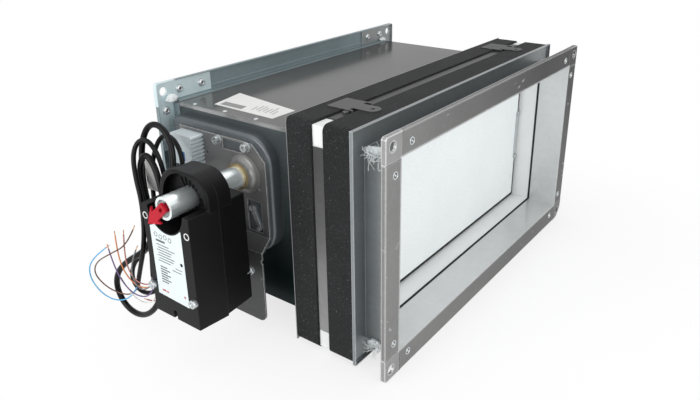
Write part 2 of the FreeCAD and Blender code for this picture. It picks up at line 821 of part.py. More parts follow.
def linkage():
    """Crank, link and blade bracket: a parallelogram, so the shaft and the blade turn alike."""
    pin = size("pin_radius")
    crank_pin = (shaft_y + size("arm_along"), shaft_z + size("arm_rise"))
    blade_pin = (middle + size("arm_along"), size("arm_rise"))
    arm_low = -half_width + size("arm_wall_gap")
    arm_high = arm_low + size("arm_thickness")
    link_low = arm_high + size("plate_gap")
    link_high = link_low + size("link_thickness")
    bracket_low = link_high + size("plate_gap")
    bracket_high = bracket_low + size("bracket_sheet")
    head = size("pin_head")

    body = arm("crank", (shaft_y, shaft_z), crank_pin, size("arm_end_radius"), arm_low, arm_high)
    pad(body, "YZ", arm_low, bracket_low, circles=[(shaft_y, shaft_z, size("hub_radius"))])
    pocket(body, "YZ", arm_low - 1, bracket_low + 1, circles=[(shaft_y, shaft_z, size("shaft_radius"))])
    pocket(body, "YZ", arm_low - 1, bracket_low + 1, circles=[(crank_pin[0], crank_pin[1], pin)])
    keep(body, "crank")
    keep(join("crank_pin_solid",
              rod("crank_pin_bar", "X", pin, arm_low, link_high + head, *crank_pin),
              rod("crank_pin_head", "X", size("pin_head_radius"), link_high + play, link_high + head,
                  *crank_pin)), "crank_pin")

    body = arm("link_bar", blade_pin, crank_pin, size("link_end_radius"), link_low, link_high)
    pocket(body, "YZ", link_low - 1, link_high + 1, circles=[(crank_pin[0], crank_pin[1], pin + play)])
    pocket(body, "YZ", link_low - 1, link_high + 1,
           circles=[(blade_pin[0], blade_pin[1], pin + size("link_hole_play"))])
    keep(body, "link_bar")

    body = new_body("blade_bracket")
    half = size("bracket_half_height")
    base = blade_rear + size("bracket_base")
    base_end = bracket_low + size("bracket_base_width")
    round_end = size("bracket_end_radius")
    pad(body, "XZ", blade_rear, base,
        [rectangle(bracket_low, base_end, blade_pin[1] - half, blade_pin[1] + half)])
    pad(body, "YZ", bracket_low, bracket_high, [[
        (blade_rear, blade_pin[1] - half), (base, blade_pin[1] - half),
        (blade_pin[0], blade_pin[1] - round_end), (blade_pin[0], blade_pin[1] + round_end),
        (base, blade_pin[1] + half), (blade_rear, blade_pin[1] + half)]])
    pad(body, "YZ", bracket_low, bracket_high, circles=[(blade_pin[0], blade_pin[1], round_end)])
    pocket(body, "YZ", bracket_low - 1, bracket_high + 1, circles=[(blade_pin[0], blade_pin[1], pin)])
    keep(body, "blade_bracket")
    keep(join("blade_pin_solid",
              rod("blade_pin_bar", "X", pin, link_low - play, bracket_high, *blade_pin),
              rod("blade_pin_head", "X", size("pin_head_radius"), bracket_high, bracket_high + head,
                  *blade_pin)), "blade_pin")
    screws = [rod(f"bracket_screw_{place}", "Y", size("pan_head_radius"), base,
                  base + size("pan_head"), base_end - half / 2, blade_pin[1] + up * half / 2)
              for place, up in enumerate((-1, 1))]
    keep(group("bracket_screw_group", *screws), "bracket_screws")


def shaft():
    """The drive shaft in its inner bush, with the clamp sleeve and the pointer outside."""
    radius = size("shaft_radius")
    inner_end = -half_width + size("arm_wall_gap") + size("arm_thickness") \
        + size("plate_gap") * 2 + size("link_thickness")
    keep(rod("shaft_bar", "X", radius, -shaft_end, inner_end, shaft_y, shaft_z),
         "drive_shaft")
    tail = -wall_x - size("bush_tail")
    flange = -half_width + size("bush_flange")
    bush = join("inner_bush_solid",
                rod("inner_bush_tube", "X", radius + size("bush_wall"), tail, flange, shaft_y, shaft_z),
                rod("inner_bush_flange", "X", size("bush_flange_radius"), -half_width, flange,
                    shaft_y, shaft_z))
    keep(cut("inner_bush_bored", bush,
             rod("inner_bush_bore", "X", radius + play, tail - 1, flange + 1, shaft_y, shaft_z)),
         "inner_bush")
    face = -housing_x
    sleeve = rod("sleeve_tube", "X", size("sleeve_radius"), -actuator_face,
                 face + size("brass_tail"), shaft_y, shaft_z)
    keep(cut("sleeve_bored", sleeve,
             rod("sleeve_bore", "X", radius, -shaft_end - 1, face + size("brass_tail") + 1,
                 shaft_y, shaft_z),
             rod("sleeve_counterbore", "X", size("sleeve_bore_radius"),
                 -actuator_face - 1, -shaft_end, shaft_y, shaft_z)), "shaft_sleeve")
    pointer()


def pointer():
    """A red arrow on a small hub in the end of the sleeve. It shows which way the blade stands."""
    high = -actuator_face - size("pointer_gap")
    low = high - size("pointer_sheet")
    turn = math.radians(sheet.get("pointer_angle"))
    ahead = (math.cos(turn), math.sin(turn))
    aside = (-ahead[1], ahead[0])

    def spot(forward, sideways):
        return (shaft_y + forward * ahead[0] + sideways * aside[0],
                shaft_z + forward * ahead[1] + sideways * aside[1])

    neck, half = size("pointer_neck"), size("pointer_half_neck")
    tip, head = size("pointer_length"), size("pointer_half_head")
    body = new_body("pointer_arrow")
    pad(body, "YZ", low, high, [[
        spot(-half, -half), spot(neck, -half), spot(neck - half / 2, -head), spot(tip, as_size(0)),
        spot(neck - half / 2, head), spot(neck, half), spot(-half, half)]])
    pad(body, "YZ", low, -shaft_end, circles=[(shaft_y, shaft_z, size("pointer_hub_radius"))])
    hole, reach = size("pointer_slot_radius"), size("pointer_slot")
    pocket(body, "YZ", low - 1, high, [[
        spot(as_size(0), -hole), spot(reach, -hole), spot(reach, hole), spot(as_size(0), hole)]])
    for forward in (as_size(0), reach):
        pocket(body, "YZ", low - 1, high, circles=[(*spot(forward, as_size(0)), hole)])
    keep(body, "pointer_arrow")


def slab(name, low, high, front, rear, bottom, top, radii, edge=None):
    """A plate across X with round corners: front top, front bottom, rear top and rear bottom."""
    body = new_body(name)
    pad(body, "YZ", low, high, [rectangle(front, rear, bottom, top)])
    places = ((front, top), (front, bottom), (rear, top), (rear, bottom))
    for radius, (across, up) in zip(radii, places):
        if radius is not None:
            round_edges(body, radius, lambda side: along(side, "x") and near(side, y=across, z=up))
    if edge is not None:
        round_edges(body, edge, lambda side: near(side, x=low))
    return body


def housing():
    """The pressed cover on the casing's left wall, which carries the mechanism plate."""
    wall = size("housing_wall")
    face = -housing_x
    big, small, edge = (size("housing_" + which + "_radius") for which in ("big", "small", "edge"))
    front, rear = size("housing_front"), length - size("flange_leg") - size("housing_rear_gap")
    bottom, top = -size("housing_bottom"), size("housing_top")
    outer = slab("housing_outer", face, -wall_x, front, rear, bottom, top, (big, big, small, small), edge)
    inner = slab("housing_inner", face + wall, -wall_x + 1, front + wall, rear - wall,
                 bottom + wall, top - wall, [radius - wall for radius in (big, big, small, small)],
                 edge - wall)
    holes = [rod("housing_shaft_hole", "X", size("brass_radius"), face - 1, face + wall + 1,
                 shaft_y, shaft_z),
             rod("housing_probe_hole", "X", size("probe_radius") + size("pivot_hole_play"), face - 1,
                 face + wall + 1, probe_y, size("probe_rise"))]
    for place in ("screw_one", "screw_two"):
        holes.append(rod("housing_" + place, "X", size("socket_screw_shank"), face - 1,
                         face + wall + 1, size(place), size("screw_line")))
    holes.append(rod("housing_catch_hole", "X", size("catch_pin_radius"), face - 1, face + wall + 1,
                     size("catch_along"), size("catch_rise")))
    keep(cut("housing_shell", outer, inner, *holes), "mechanism_housing")


def mechanism_plate():
    """A bent steel plate on the housing. Its lower leg stands out to carry the actuator."""
    metal = size("plate_sheet")
    inner = -housing_x
    outer = inner - metal
    front, rear = size("plate_front"), size("plate_rear")
    top = size("plate_top")
    step = -size("joggle_height")
    reach = size("joggle_reach")
    drop = size("joggle_drop")
    foot = -size("leg_bottom")
    end = trip_rear + size("plate_tab_margin")
    body = new_body("mechanism_plate")
    pad(body, "XZ", front, end, [[
        (inner, top), (outer, top), (outer, step), (outer - reach, step - drop), (outer - reach, foot),
        (inner - reach, foot), (inner - reach, step - drop - metal), (inner, step - metal)]])
    far = outer - reach - 1
    leg_rear = size("leg_rear")
    low_edge = -size("plate_low_edge")
    pocket(body, "YZ", far, inner + 1, [[
        (leg_rear, foot - 1), (end + 1, foot - 1), (end + 1, size("plate_tab_low")),
        (rear, size("plate_tab_low")), (rear, low_edge), (leg_rear, low_edge)]])
    chamfer = size("plate_chamfer")
    pocket(body, "YZ", far, inner + 1,
           [[(front - 1, top - chamfer), (front - 1, top + 1), (front + chamfer, top + 1)]])
    window = size("window_front")
    pocket(body, "YZ", far, inner + 1, [rectangle(
        window, window + size("window_length"), size("window_low"),
        size("window_low") + size("window_height"))])
    catch = size("catch_window_front")
    pocket(body, "YZ", far, inner + 1, [rectangle(
        catch, catch + size("catch_window_length"), -size("catch_window_low") + metal,
        -size("catch_window_low") + size("catch_window_height"))])
    small = size("socket_screw_shank")
    pocket(body, "YZ", far, inner + 1, circles=[(shaft_y, shaft_z, size("brass_radius"))])
    pocket(body, "YZ", far, inner + 1, circles=[
        (size(place), size("screw_line"), small) for place in ("screw_one", "screw_two")])
    side = size("body_screw_side")
    pocket(body, "YZ", far, inner + 1, circles=[
        (shaft_y + which * side, -size("body_screw_drop"), small) for which in (-1, 1)])
    pocket(body, "YZ", far, inner + 1, circles=[
        (rear + size("plate_hole_inset"), top - size("plate_hole_drop"), small),
        (front + size("plate_small_hole_inset"), shaft_z - size("plate_small_hole_drop"), small * 2 / 3)])
    pocket(body, "YZ", far, inner + 1, circles=[
        (probe_y, size("probe_rise"), size("probe_radius") + size("pivot_hole_play"))])
    round_edges(body, size("leg_radius"),
                lambda side: along(side, "x") and near(side, z=foot))
    keep(body, "mechanism_plate")
    bearing(outer)
    for name, radius, low, high in (
            ("plate_washers", size("washer_radius"), outer - size("washer"), outer),
            ("plate_screws", size("socket_screw_radius"),
             outer - size("washer") - size("socket_screw_head"), outer - size("washer"))):
        solids = []
        for place in ("screw_one", "screw_two"):
            where = (size(place), size("screw_line"))
            ring = rod(f"{name}_{place}_outer", "X", radius, low, high, *where)
            if name == "plate_washers":
                hole = rod(f"{name}_{place}_hole", "X", small, low - 1, high + 1, *where)
                solids.append(cut(f"{name}_{place}", ring, hole))
                continue
            shank = rod(f"{name}_{place}_shank", "X", small, high, inner + size("housing_wall"), *where)
            socket = rod(f"{name}_{place}_socket", "X", size("socket_radius"), low - 1,
                         low + size("socket_depth"), *where)
            solids.append(cut(f"{name}_{place}", join(f"{name}_{place}_solid", ring, shank), socket))
        keep(group(name + "_group", *solids), name)


def bearing(face):
    """The flared boss that stands on the mechanism plate, and the brass bush in it."""
    flange = face - size("boss_flange")
    end = face - size("boss_length")
    body = new_body("bearing_boss")
    pad(body, "YZ", end, face, circles=[(shaft_y, shaft_z, size("boss_radius"))])
    pad(body, "YZ", flange, face, circles=[(shaft_y, shaft_z, size("boss_flange_radius"))])
    round_edges(body, size("boss_fillet"), lambda side: near(side, x=flange)
                and abs(side.Length - 2 * math.pi * size("boss_radius").value) < 0.1)
    pocket(body, "YZ", end - 1, face + 1, circles=[(shaft_y, shaft_z, size("brass_radius"))])
    keep(body, "bearing_boss")
    inner_end = face + size("plate_sheet") + size("brass_tail")
    tip = end - size("brass_tip")
    bush = join("brass_solid",
                rod("brass_tube", "X", size("brass_radius"), end, inner_end, shaft_y, shaft_z),
                rod("brass_collar", "X", size("boss_radius"), tip, end, shaft_y, shaft_z))
    keep(cut("brass_bored", bush, rod("brass_bore", "X", size("sleeve_radius") + play, tip - 1,
                                      inner_end + 1, shaft_y, shaft_z)), "brass_bush")


def catch():
    """The small catch lever in the plate's lower window, on its pin."""
    face = -housing_x
    where = (size("catch_along"), size("catch_rise"))
    pin = size("catch_pin_radius")
    low = face - play - size("catch_sheet")
    head_high = low - play
    keep(join("catch_pin_solid",
              rod("catch_pin_bar", "X", pin, head_high - size("catch_head"), face + size("housing_wall"),
                  *where),
              rod("catch_pin_head", "X", size("catch_head_radius"), head_high - size("catch_head"),
                  head_high, *where)), "catch_pin")
    end = (where[0] - size("catch_run"), where[1] - size("catch_fall"))
    half = size("catch_half_width")
    body = arm("catch_lever", where, end, half, low, face - play)
    pad(body, "YZ", low, face - play, circles=[(where[0], where[1], size("catch_end_radius"))])
    pad(body, "YZ", low - size("catch_finger"), face - play,
        [rectangle(end[0] - half, end[0] + half / 2, end[1] - half / 2, end[1] + half / 2)])
    pocket(body, "YZ", low - 1, face + 1, circles=[(where[0], where[1], pin + play)])
    keep(body, "catch_lever")


def actuator():
    """The actuator: a front shell with a recess round the sleeve, and a rear shell with a box."""
    half = size("actuator_half_width")
    flare = size("actuator_flare")
    bottom, shoulder, head = -size("actuator_bottom"), size("actuator_shoulder"), size("actuator_head")
    face, seam, back = -actuator_face, -actuator_seam, -actuator_back
    head_face, head_back = seam - size("head_front"), seam + size("head_rear")
    recess_floor = head_face + size("recess_depth")
    crown = size("head_radius")
    edge = size("shell_edge")
    wide = half + flare
    bore = size("shell_bore_radius")
    screws = [(shaft_y + side * size("body_screw_side"), -size("body_screw_drop")) for side in (-1, 1)]
    screw_bore = size("socket_screw_shank") + size("body_screw_play")

    front = tapered("front_block", face, seam, half, wide, bottom, shoulder, flare)
    cap = slab("front_head", head_face, seam, shaft_y - wide, shaft_y + wide, shoulder - flare * 2, head,
               (crown, None, crown, None), edge)
    tools = [rod("front_bore", "X", bore, face - 1, seam + 1, shaft_y, shaft_z),
             rod("front_notch", "X", size("notch_radius"), face - 1, recess_floor,
                 shaft_y, shaft_z),
             rod("front_recess", "X", size("recess_radius"), head_face - 1, recess_floor,
                 shaft_y, shaft_z - size("recess_drop")),
             block("front_slot", face - 1, face + size("bottom_slot_depth"),
                   shaft_y, shaft_y + size("bottom_slot"), bottom - flare - 1,
                   bottom + size("bottom_slot_height"))]
    tools += [rod(f"front_screw_bore_{place}", "X", screw_bore, face - 1, seam + 1, *spot)
              for place, spot in enumerate(screws)]
    keep(cut("front_shell_solid", join("front_shell_block", front, cap), *tools), "actuator_front_shell")

    step = size("seam_step")
    low_back = tapered("rear_block", seam, back, wide - step, half - step, bottom - flare + step,
                       shoulder + flare, -flare)
    cap = slab("rear_head", seam, head_back, shaft_y - wide + step, shaft_y + wide - step,
               shoulder - flare * 2, head - step, (crown, None, crown, None))
    leg_face = -leg_x
    spacers = [rod(f"rear_spacer_{place}", "X", size("spacer_radius"), back - 1, leg_face, *spot)
               for place, spot in enumerate(screws)]
    tools = [rod("rear_bore", "X", bore, seam - 1, back + 1, shaft_y, shaft_z)]
    tools += [rod(f"rear_screw_bore_{place}", "X", screw_bore, seam - 1, leg_face + 1, *spot)
              for place, spot in enumerate(screws)]
    keep(cut("rear_shell_solid", join("rear_shell_block", low_back, cap, *spacers), *tools),
         "actuator_rear_shell")
    body_screws(screws, face, leg_face)
    glands(wide)


def tapered(name, low, high, half_low, half_high, bottom, top, spread):
    """A moulded block across X whose sides and bottom lean a little."""
    body = new_body(name)
    first = new_sketch(body, "YZ", low, [rectangle(shaft_y - half_low, shaft_y + half_low, bottom, top)])
    second = new_sketch(body, "YZ", high, [rectangle(
        shaft_y - half_high, shaft_y + half_high, bottom - spread, top)])
    loft = body.newObject("PartDesign::AdditiveLoft", name + "_loft")
    loft.Profile = first
    loft.Sections = [second]
    loft.Ruled = True
    return body


def body_screws(spots, face, leg_face):
    """Two long socket screws through the actuator into the leg, with nuts behind."""
    shank = size("socket_screw_shank")
    head_low = face - size("socket_screw_head")
    leg_back = leg_face + size("plate_sheet")
    screws, nuts = [], []
    for place, spot in enumerate(spots):
        solid = join(f"body_screw_solid_{place}",
                     rod(f"body_screw_head_{place}", "X", size("socket_screw_radius"), head_low, face,
                         *spot),
                     rod(f"body_screw_shank_{place}", "X", shank, face, leg_back + size("nut"), *spot))
        screws.append(cut(f"body_screw_{place}", solid,
                          rod(f"body_screw_socket_{place}", "X", size("socket_radius"), head_low - 1,
                              head_low + size("socket_depth"), *spot)))
        hexagon = doc.addObject("Part::Prism", f"body_nut_solid_{place}")
        hexagon.Polygon = 6
        bind(hexagon, "Circumradius", size("nut_radius"))
        bind(hexagon, "Height", size("nut"))
        hexagon.Placement = FreeCAD.Placement(FreeCAD.Vector(), TURNS["X"])
        for axis, number in zip("xyz", (leg_back, *spot)):
            bind(hexagon, f"Placement.Base.{axis}", number)
        nuts.append(cut(f"body_nut_{place}", hexagon,
                        rod(f"body_nut_bore_{place}", "X", shank, leg_back - 1,
                            leg_back + size("nut") + 1, *spot)))
    keep(group("body_screw_group", *screws), "actuator_screws")
    keep(group("body_nut_group", *nuts), "actuator_nuts")


def glands(wide):
    """Two cable glands on the side of the actuator that faces the rear flange."""
    solids = []
    for name, cable in (("signal", size("signal_radius")), ("supply", size("supply_radius"))):
        across = -actuator_back - size(name + "_gland_step")
        low = shaft_y + wide - 4
        high = shaft_y + wide + size("gland")
        solids.append(cut(name + "_gland_bored",
                          rod(name + "_gland_body", "Y", size("gland_radius"), gland_seat(), high,
                              across, size("gland_rise")),
                          rod(name + "_gland_bore", "Y", cable, low - 1, high + 1, across,
                              size("gland_rise"))))
    keep(group("gland_group", *solids), "cable_glands")


def gland_seat():
    """Where the glands meet the side of the rear shell."""
    return shaft_y + size("actuator_half_width") + size("actuator_flare") - size("seam_step")


def trip_unit():
    """The thermal trip unit on the housing, with its probe in the air stream."""
    face = -housing_x - size("plate_sheet")
    outer = face - size("trip_depth")
    low = size("trip_low")
    high = low + size("trip_height")
    edge = size("trip_edge")
    body = slab("trip_unit", outer, face, trip_front, trip_rear, low, high, (edge, edge, edge, edge))
    groove, pitch = size("trip_groove"), size("trip_groove_pitch")
    start = low + pitch
    pocket(body, "YZ", outer - 1, face + 1, [
        rectangle(trip_front - 1, trip_front + size("trip_groove_depth"), start + pitch * turn,
                  start + pitch * turn + groove) for turn in range(7)])
    keep(body, "trip_unit")
    where = (probe_y, size("probe_rise"))
    reach = -half_width + size("probe_reach")
    keep(join("probe_solid",
              rod("probe_tube", "X", size("probe_radius"), face, reach, *where),
              rod("probe_cage", "X", size("probe_cage_radius"), reach - size("probe_cage"), reach, *where)),
         "trip_probe")


def hook():
    """A bent tab on the housing that the cable coil hangs round."""
    face = -housing_x
    metal = size("hook_sheet")
    level = size("hook_rise")
    reach = face - size("hook_reach")
    body = new_body("hook_tab")
    pad(body, "XZ", hook_front, hook_front + size("hook_width"), [[
        (face, level), (face, level - size("hook_foot")), (face - metal, level - size("hook_foot")),
        (face - metal, level - metal), (reach - metal, level - metal),
        (reach - metal, level + size("hook_upturn")), (reach, level + size("hook_upturn")),
        (reach, level)]])
    keep(body, "hook_tab")
    pan_screws(face)


def pan_screws(face):
    """Small equal screws: one through the hook's foot and one through each lug."""
    head, radius = size("pan_head"), size("pan_head_radius")
    metal = size("hook_sheet")
    middle_y = hook_front + size("hook_width") / 2
    low = size("hook_rise") - size("hook_foot") / 2 - metal
    hook_screw = rod("hook_screw", "X", radius, face - metal - head, face - metal, middle_y, low)
    strip_top = board_z + size("channel_sheet")
    channel = (collar_front + size("front_foam_width") + collar_rear - size("rear_foam_width")) / 2
    outside = size("lug_side") + size("lug_wide") / 2 + radius + 1
    strip_screw = rod("strip_screw", "Z", radius, strip_top, strip_top + head, outside, channel)
    keep(group("pan_screw_group", hook_screw, strip_screw,
               mirror("strip_screw_left", strip_screw, (1, 0, 0))), "pan_screws")


# The routes are drawn for an actuator whose back is this far out, and the cables move with it.
CABLE_BACK = 310.0
# The cables' routes, as corners that the tube's arcs round off.
SIGNAL_ROUTE = [
    (-340, 270, 24), (-340, 281, 24), (-335, 289, 40), (-327, 291, 62), (-321, 294, 86),
    (-318, 303, 108), (-320, 319, 121), (-323, 336, 116), (-327, 346, 95), (-331, 347, 70),
    (-338, 340, 45), (-344, 328, 20), (-349, 317, -6), (-354, 318, -32), (-358, 337, -52),
    (-363, 364, -70), (-367, 387, -94), (-368, 393, -122), (-367, 377, -147), (-366, 346, -150),
    (-365, 316, -130), (-361, 297, -96), (-355, 287, -60), (-350, 283, -24), (-347, 287, 14),
    (-344, 295, 46), (-341, 306, 73), (-341, 322, 88), (-343, 334, 72), (-346, 332, 46),
    (-350, 320, 20), (-357, 308, -8), (-363, 305, -40), (-365, 306, -72)]
SUPPLY_ROUTE = [
    (-322, 270, 24), (-322, 281, 24), (-317, 290, 38), (-310, 293, 58), (-306, 297, 80),
    (-306, 308, 98), (-308, 323, 103), (-311, 336, 92), (-316, 345, 66), (-322, 344, 40),
    (-330, 334, 12), (-338, 320, -14), (-345, 326, -40), (-350, 350, -62), (-354, 369, -84),
    (-356, 371, -108), (-356, 350, -120), (-352, 324, -110), (-346, 308, -82), (-340, 300, -50),
    (-335, 298, -14), (-333, 299, 22), (-332, 301, 54), (-332, 308, 84), (-336, 320, 104),
    (-342, 332, 103), (-350, 336, 86), (-354, 331, 58), (-358, 319, 28), (-366, 310, -4),
    (-372, 310, -34), (-370, 327, -68), (-364, 347, -102)]
# Each core leaves its cable's end face at an angle round its ring, and then goes by these corners.
CORE_ROUTES = {
    "core_blue": ("supply", 90, [
        (-371, 363, -126), (-379, 383, -132), (-386, 405, -123), (-391, 418, -98), (-389, 409, -70),
        (-381, 380, -47)]),
    "core_brown": ("supply", 270, [
        (-367, 362, -121), (-373, 380, -122), (-381, 398, -113), (-388, 409, -93), (-389, 396, -70),
        (-385, 366, -50), (-378, 336, -31), (-372, 326, -8)]),
    "core_violet": ("signal", 60, [
        (-369, 306, -92), (-372, 318, -106), (-376, 340, -107), (-380, 356, -92), (-382, 367, -68),
        (-383, 371, -45)]),
    "core_orange": ("signal", 240, [
        (-364, 314, -92), (-368, 330, -98), (-373, 346, -91), (-377, 355, -73), (-379, 358, -48),
        (-379, 357, -23)]),
    "core_pink": ("signal", 180, [
        (-369, 316, -88), (-373, 334, -87), (-375, 346, -72), (-376, 347, -46), (-376, 342, -18)]),
    "core_white": ("signal", 0, [
        (-366, 303, -95), (-368, 310, -112), (-371, 330, -120), (-374, 350, -112), (-376, 360, -95)]),
    "core_grey": ("signal", 120, [
        (-372, 311, -90), (-378, 322, -92), (-381, 330, -74), (-380, 327, -50), (-377, 318, -32)]),
    "core_red": ("signal", 300, [
        (-362, 305, -94), (-359, 312, -112), (-356, 326, -124), (-355, 344, -128)]),
}
CORE_RINGS = {"signal": (SIGNAL_ROUTE, 2.5), "supply": (SUPPLY_ROUTE, 1.2)}
CORE_STRAIGHT = 8.0


def core_route(cable, angle, corners):
    """A core's route: square off its place on the cable's end face, then free."""
    route, ring = CORE_RINGS[cable]
    end = FreeCAD.Vector(*route[-1])
    ahead = (end - FreeCAD.Vector(*route[-2])).normalize()
    aside = ahead.cross(FreeCAD.Vector(1, 0, 0)).normalize()
    turn = math.radians(angle)
    start = end + aside * ring * math.cos(turn) + ahead.cross(aside) * ring * math.sin(turn)
    return [tuple(start), tuple(start + ahead * CORE_STRAIGHT)] + corners


def tube(name, route, radius):
    """A round cable along straight runs joined by tangent arcs, each as large as its runs allow."""
    points = [FreeCAD.Vector(*point) for point in route]
    edges = []
    radii = []
    start = points[0]
    for before, corner, after in zip(points, points[1:], points[2:]):
        back, ahead = (before - corner), (after - corner)
        reach = 0.45 * min(back.Length, ahead.Length)
        back.normalize()
        ahead.normalize()
        turn = math.pi - back.getAngle(ahead)
        radii.append(reach / math.tan(turn / 2))
        first, last = corner + back * reach, corner + ahead * reach
        inward = back + ahead
        inward.normalize()
        to_centre = radii[-1] / math.cos(turn / 2)
        halfway = corner + inward * (to_centre - radii[-1])
        edges.append(Part.LineSegment(start, first).toShape())
        edges.append(Part.Arc(first, halfway, last).toShape())
        start = last
    edges.append(Part.LineSegment(start, points[-1]).toShape())
    path = Part.Wire(edges)
    ring = Part.Wire(Part.Circle(points[0], points[1] - points[0], radius).toShape())
    solid = path.makePipeShell([ring], True, False)
    expected = math.pi * radius ** 2 * path.Length
    print(f"{name}: length {path.Length:.0f}, radii {min(radii):.0f} to {max(radii):.0f}, "
          f"volume {solid.Volume / expected:.4f} of section times length")
    item = doc.addObject("Part::Feature", name)
    item.Shape = solid
    bind(item, "Placement.Base.x", CABLE_BACK - actuator_back)
    return keep(item, name)


def cables():
    """The signal and supply cables and their cores."""
    tube("signal_cable", SIGNAL_ROUTE, sheet.get("signal_radius"))
    tube("supply_cable", SUPPLY_ROUTE, sheet.get("supply_radius"))
    for name, (cable, angle, corners) in CORE_ROUTES.items():
        tube(name, core_route(cable, angle, corners), sheet.get("core_radius"))


front_casing()
rear_casing()
flange_bars("front")
flange_bars("rear")
corner_pieces()
corner_rivets()
thermal_break()
collar()
fixing_lugs()
blade()
linkage()
shaft()
housing()
mechanism_plate()
catch()
actuator()
trip_unit()
hook()
cables()
doc.recompute()

failed = [item.Name for item in doc.Objects if "Invalid" in item.State or "Error" in item.State]
if failed:
    raise RuntimeError("these objects failed: " + ", ".join(failed))
for node in nodes:
    if node.Shape.isNull() or not node.Shape.isValid():
        raise RuntimeError(node.Label + " has no valid shape")
os.makedirs("parts", exist_ok=True)
for node in nodes:
    node.Shape.exportStep(os.path.join("parts", node.Label + ".step"))
print(len(nodes), "sub-parts written")
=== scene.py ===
"""The looks of the rectangular fire damper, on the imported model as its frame.

Blender works in metres. The sizes and places here are in millimetres, apart from the camera, the lights,
the floor and what the materials say, which are in metres.
"""

import json
import math
import random

import bmesh
import bpy
from mathutils import Matrix, Vector, noise


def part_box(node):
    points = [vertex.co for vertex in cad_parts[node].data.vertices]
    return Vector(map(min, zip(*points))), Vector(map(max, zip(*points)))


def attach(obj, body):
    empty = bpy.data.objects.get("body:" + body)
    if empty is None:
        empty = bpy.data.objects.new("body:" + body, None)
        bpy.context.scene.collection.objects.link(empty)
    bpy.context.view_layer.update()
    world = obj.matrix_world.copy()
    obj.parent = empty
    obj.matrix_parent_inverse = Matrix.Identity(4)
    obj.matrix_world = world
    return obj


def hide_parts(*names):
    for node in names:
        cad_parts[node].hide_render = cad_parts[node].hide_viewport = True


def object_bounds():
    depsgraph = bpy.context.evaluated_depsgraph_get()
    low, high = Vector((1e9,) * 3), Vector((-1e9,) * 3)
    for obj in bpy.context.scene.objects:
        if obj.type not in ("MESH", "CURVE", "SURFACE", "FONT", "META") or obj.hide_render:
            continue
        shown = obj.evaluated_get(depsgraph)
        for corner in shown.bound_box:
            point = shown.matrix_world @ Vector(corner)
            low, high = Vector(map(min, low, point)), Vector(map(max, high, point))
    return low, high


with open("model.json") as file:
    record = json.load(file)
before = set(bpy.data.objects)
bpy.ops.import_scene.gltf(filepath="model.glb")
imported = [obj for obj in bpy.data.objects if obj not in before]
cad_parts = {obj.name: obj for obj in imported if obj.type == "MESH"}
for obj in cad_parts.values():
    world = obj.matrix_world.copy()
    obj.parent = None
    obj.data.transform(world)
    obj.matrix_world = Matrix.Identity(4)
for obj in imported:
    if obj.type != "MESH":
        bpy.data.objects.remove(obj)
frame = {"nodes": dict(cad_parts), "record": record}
cad_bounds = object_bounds()
NODES = frame["nodes"]
MM = 0.001


def low_end(node, axis):
    """Where a node's box starts along an axis."""
    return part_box(node)[0]["XYZ".index(axis)] / MM


def high_end(node, axis):
    """Where a node's box ends along an axis."""
    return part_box(node)[1]["XYZ".index(axis)] / MM


# Places that the CAD model gives.

LENGTH = high_end("rear_flange_bars", "Y")
FLANGE = (high_end("front_flange_bars", "X"), high_end("front_flange_bars", "Z"))
TOP = high_end("casing_top_sheet", "Z")
# Half the duct's inner width and height.
DUCT = (250.0, 125.0)
# The drive shaft's axis, across Y and Z.
SHAFT = (222.0, 60.0)
# The actuator's front, the joint of its shells, and the face of the leg that carries it.
FACE = low_end("actuator_front_shell", "X")
SEAM = high_end("actuator_front_shell", "X")
LEG_FACE = low_end("mechanism_plate", "X")
LEG_BACK = LEG_FACE + 2.0
TRIP_FACE = low_end("trip_unit", "X")


# The camera that the flange's corners in the photograph give, for an image of 700 by 400 pixels.

IMAGE = (700, 400)
FOCAL = 659.7
CENTRE = (368.21, 162.85)
CAMERA_PLACE = (-0.8011, -0.3554, 0.3805)
CAMERA_AZIMUTH = -54.04
CAMERA_ELEVATION = 21.78
CAMERA_ROLL = -0.316
SENSOR = 36.0
NEAREST = 0.01


def add_camera():
    camera = bpy.data.objects.new("view_camera", bpy.data.cameras.new("view_camera"))
    bpy.context.collection.objects.link(camera)
    camera.data.sensor_width = SENSOR
    camera.data.lens = FOCAL * SENSOR / IMAGE[0]
    camera.data.shift_x = (IMAGE[0] / 2 - CENTRE[0]) / IMAGE[0]
    camera.data.shift_y = (CENTRE[1] - IMAGE[1] / 2) / IMAGE[0]
    camera.data.clip_start = NEAREST
    camera.location = CAMERA_PLACE
    azimuth, elevation, roll = map(math.radians, (CAMERA_AZIMUTH, CAMERA_ELEVATION, CAMERA_ROLL))
    back = Vector((math.sin(azimuth) * math.cos(elevation), -math.cos(azimuth) * math.cos(elevation),
                   math.sin(elevation)))
    right = Vector((0, 0, 1)).cross(back).normalized()
    up = back.cross(right)
    tilted = right * math.cos(roll) + up * math.sin(roll)
    above = up * math.cos(roll) - right * math.sin(roll)
    camera.rotation_mode = "QUATERNION"
    camera.rotation_quaternion = Matrix((tilted, above, back)).transposed().to_quaternion()
    bpy.context.scene.camera = camera


# Light, floor and world.

LAMPS = {
    "lamp_above": {"place": (0.1, 0.3, 1.9), "target": (0, 0.15, 0), "size": (2.2, 1.6), "power": 8},
    "lamp_front": {"place": (-0.5, -1.8, 0.6), "target": (0, 0.1, 0), "size": (1.6, 1.2), "power": 15},
    "lamp_left": {"place": (-2.0, 0.4, 0.6), "target": (-0.3, 0.2, 0), "size": (1.4, 1.4), "power": 16},
}
WORLD_LIGHT = 0.66
FLOOR_GAP = 0.2 * MM
FLOOR_REACH = 6.0
FLOOR_WHITE = (0.95, 0.95, 0.95)
# The floor's own share of white: its least and most, and how far from the middle each is reached.
GLOW_SHARES = (0.72, 1.0)
GLOW_DISTANCES = (0.3, 0.62)


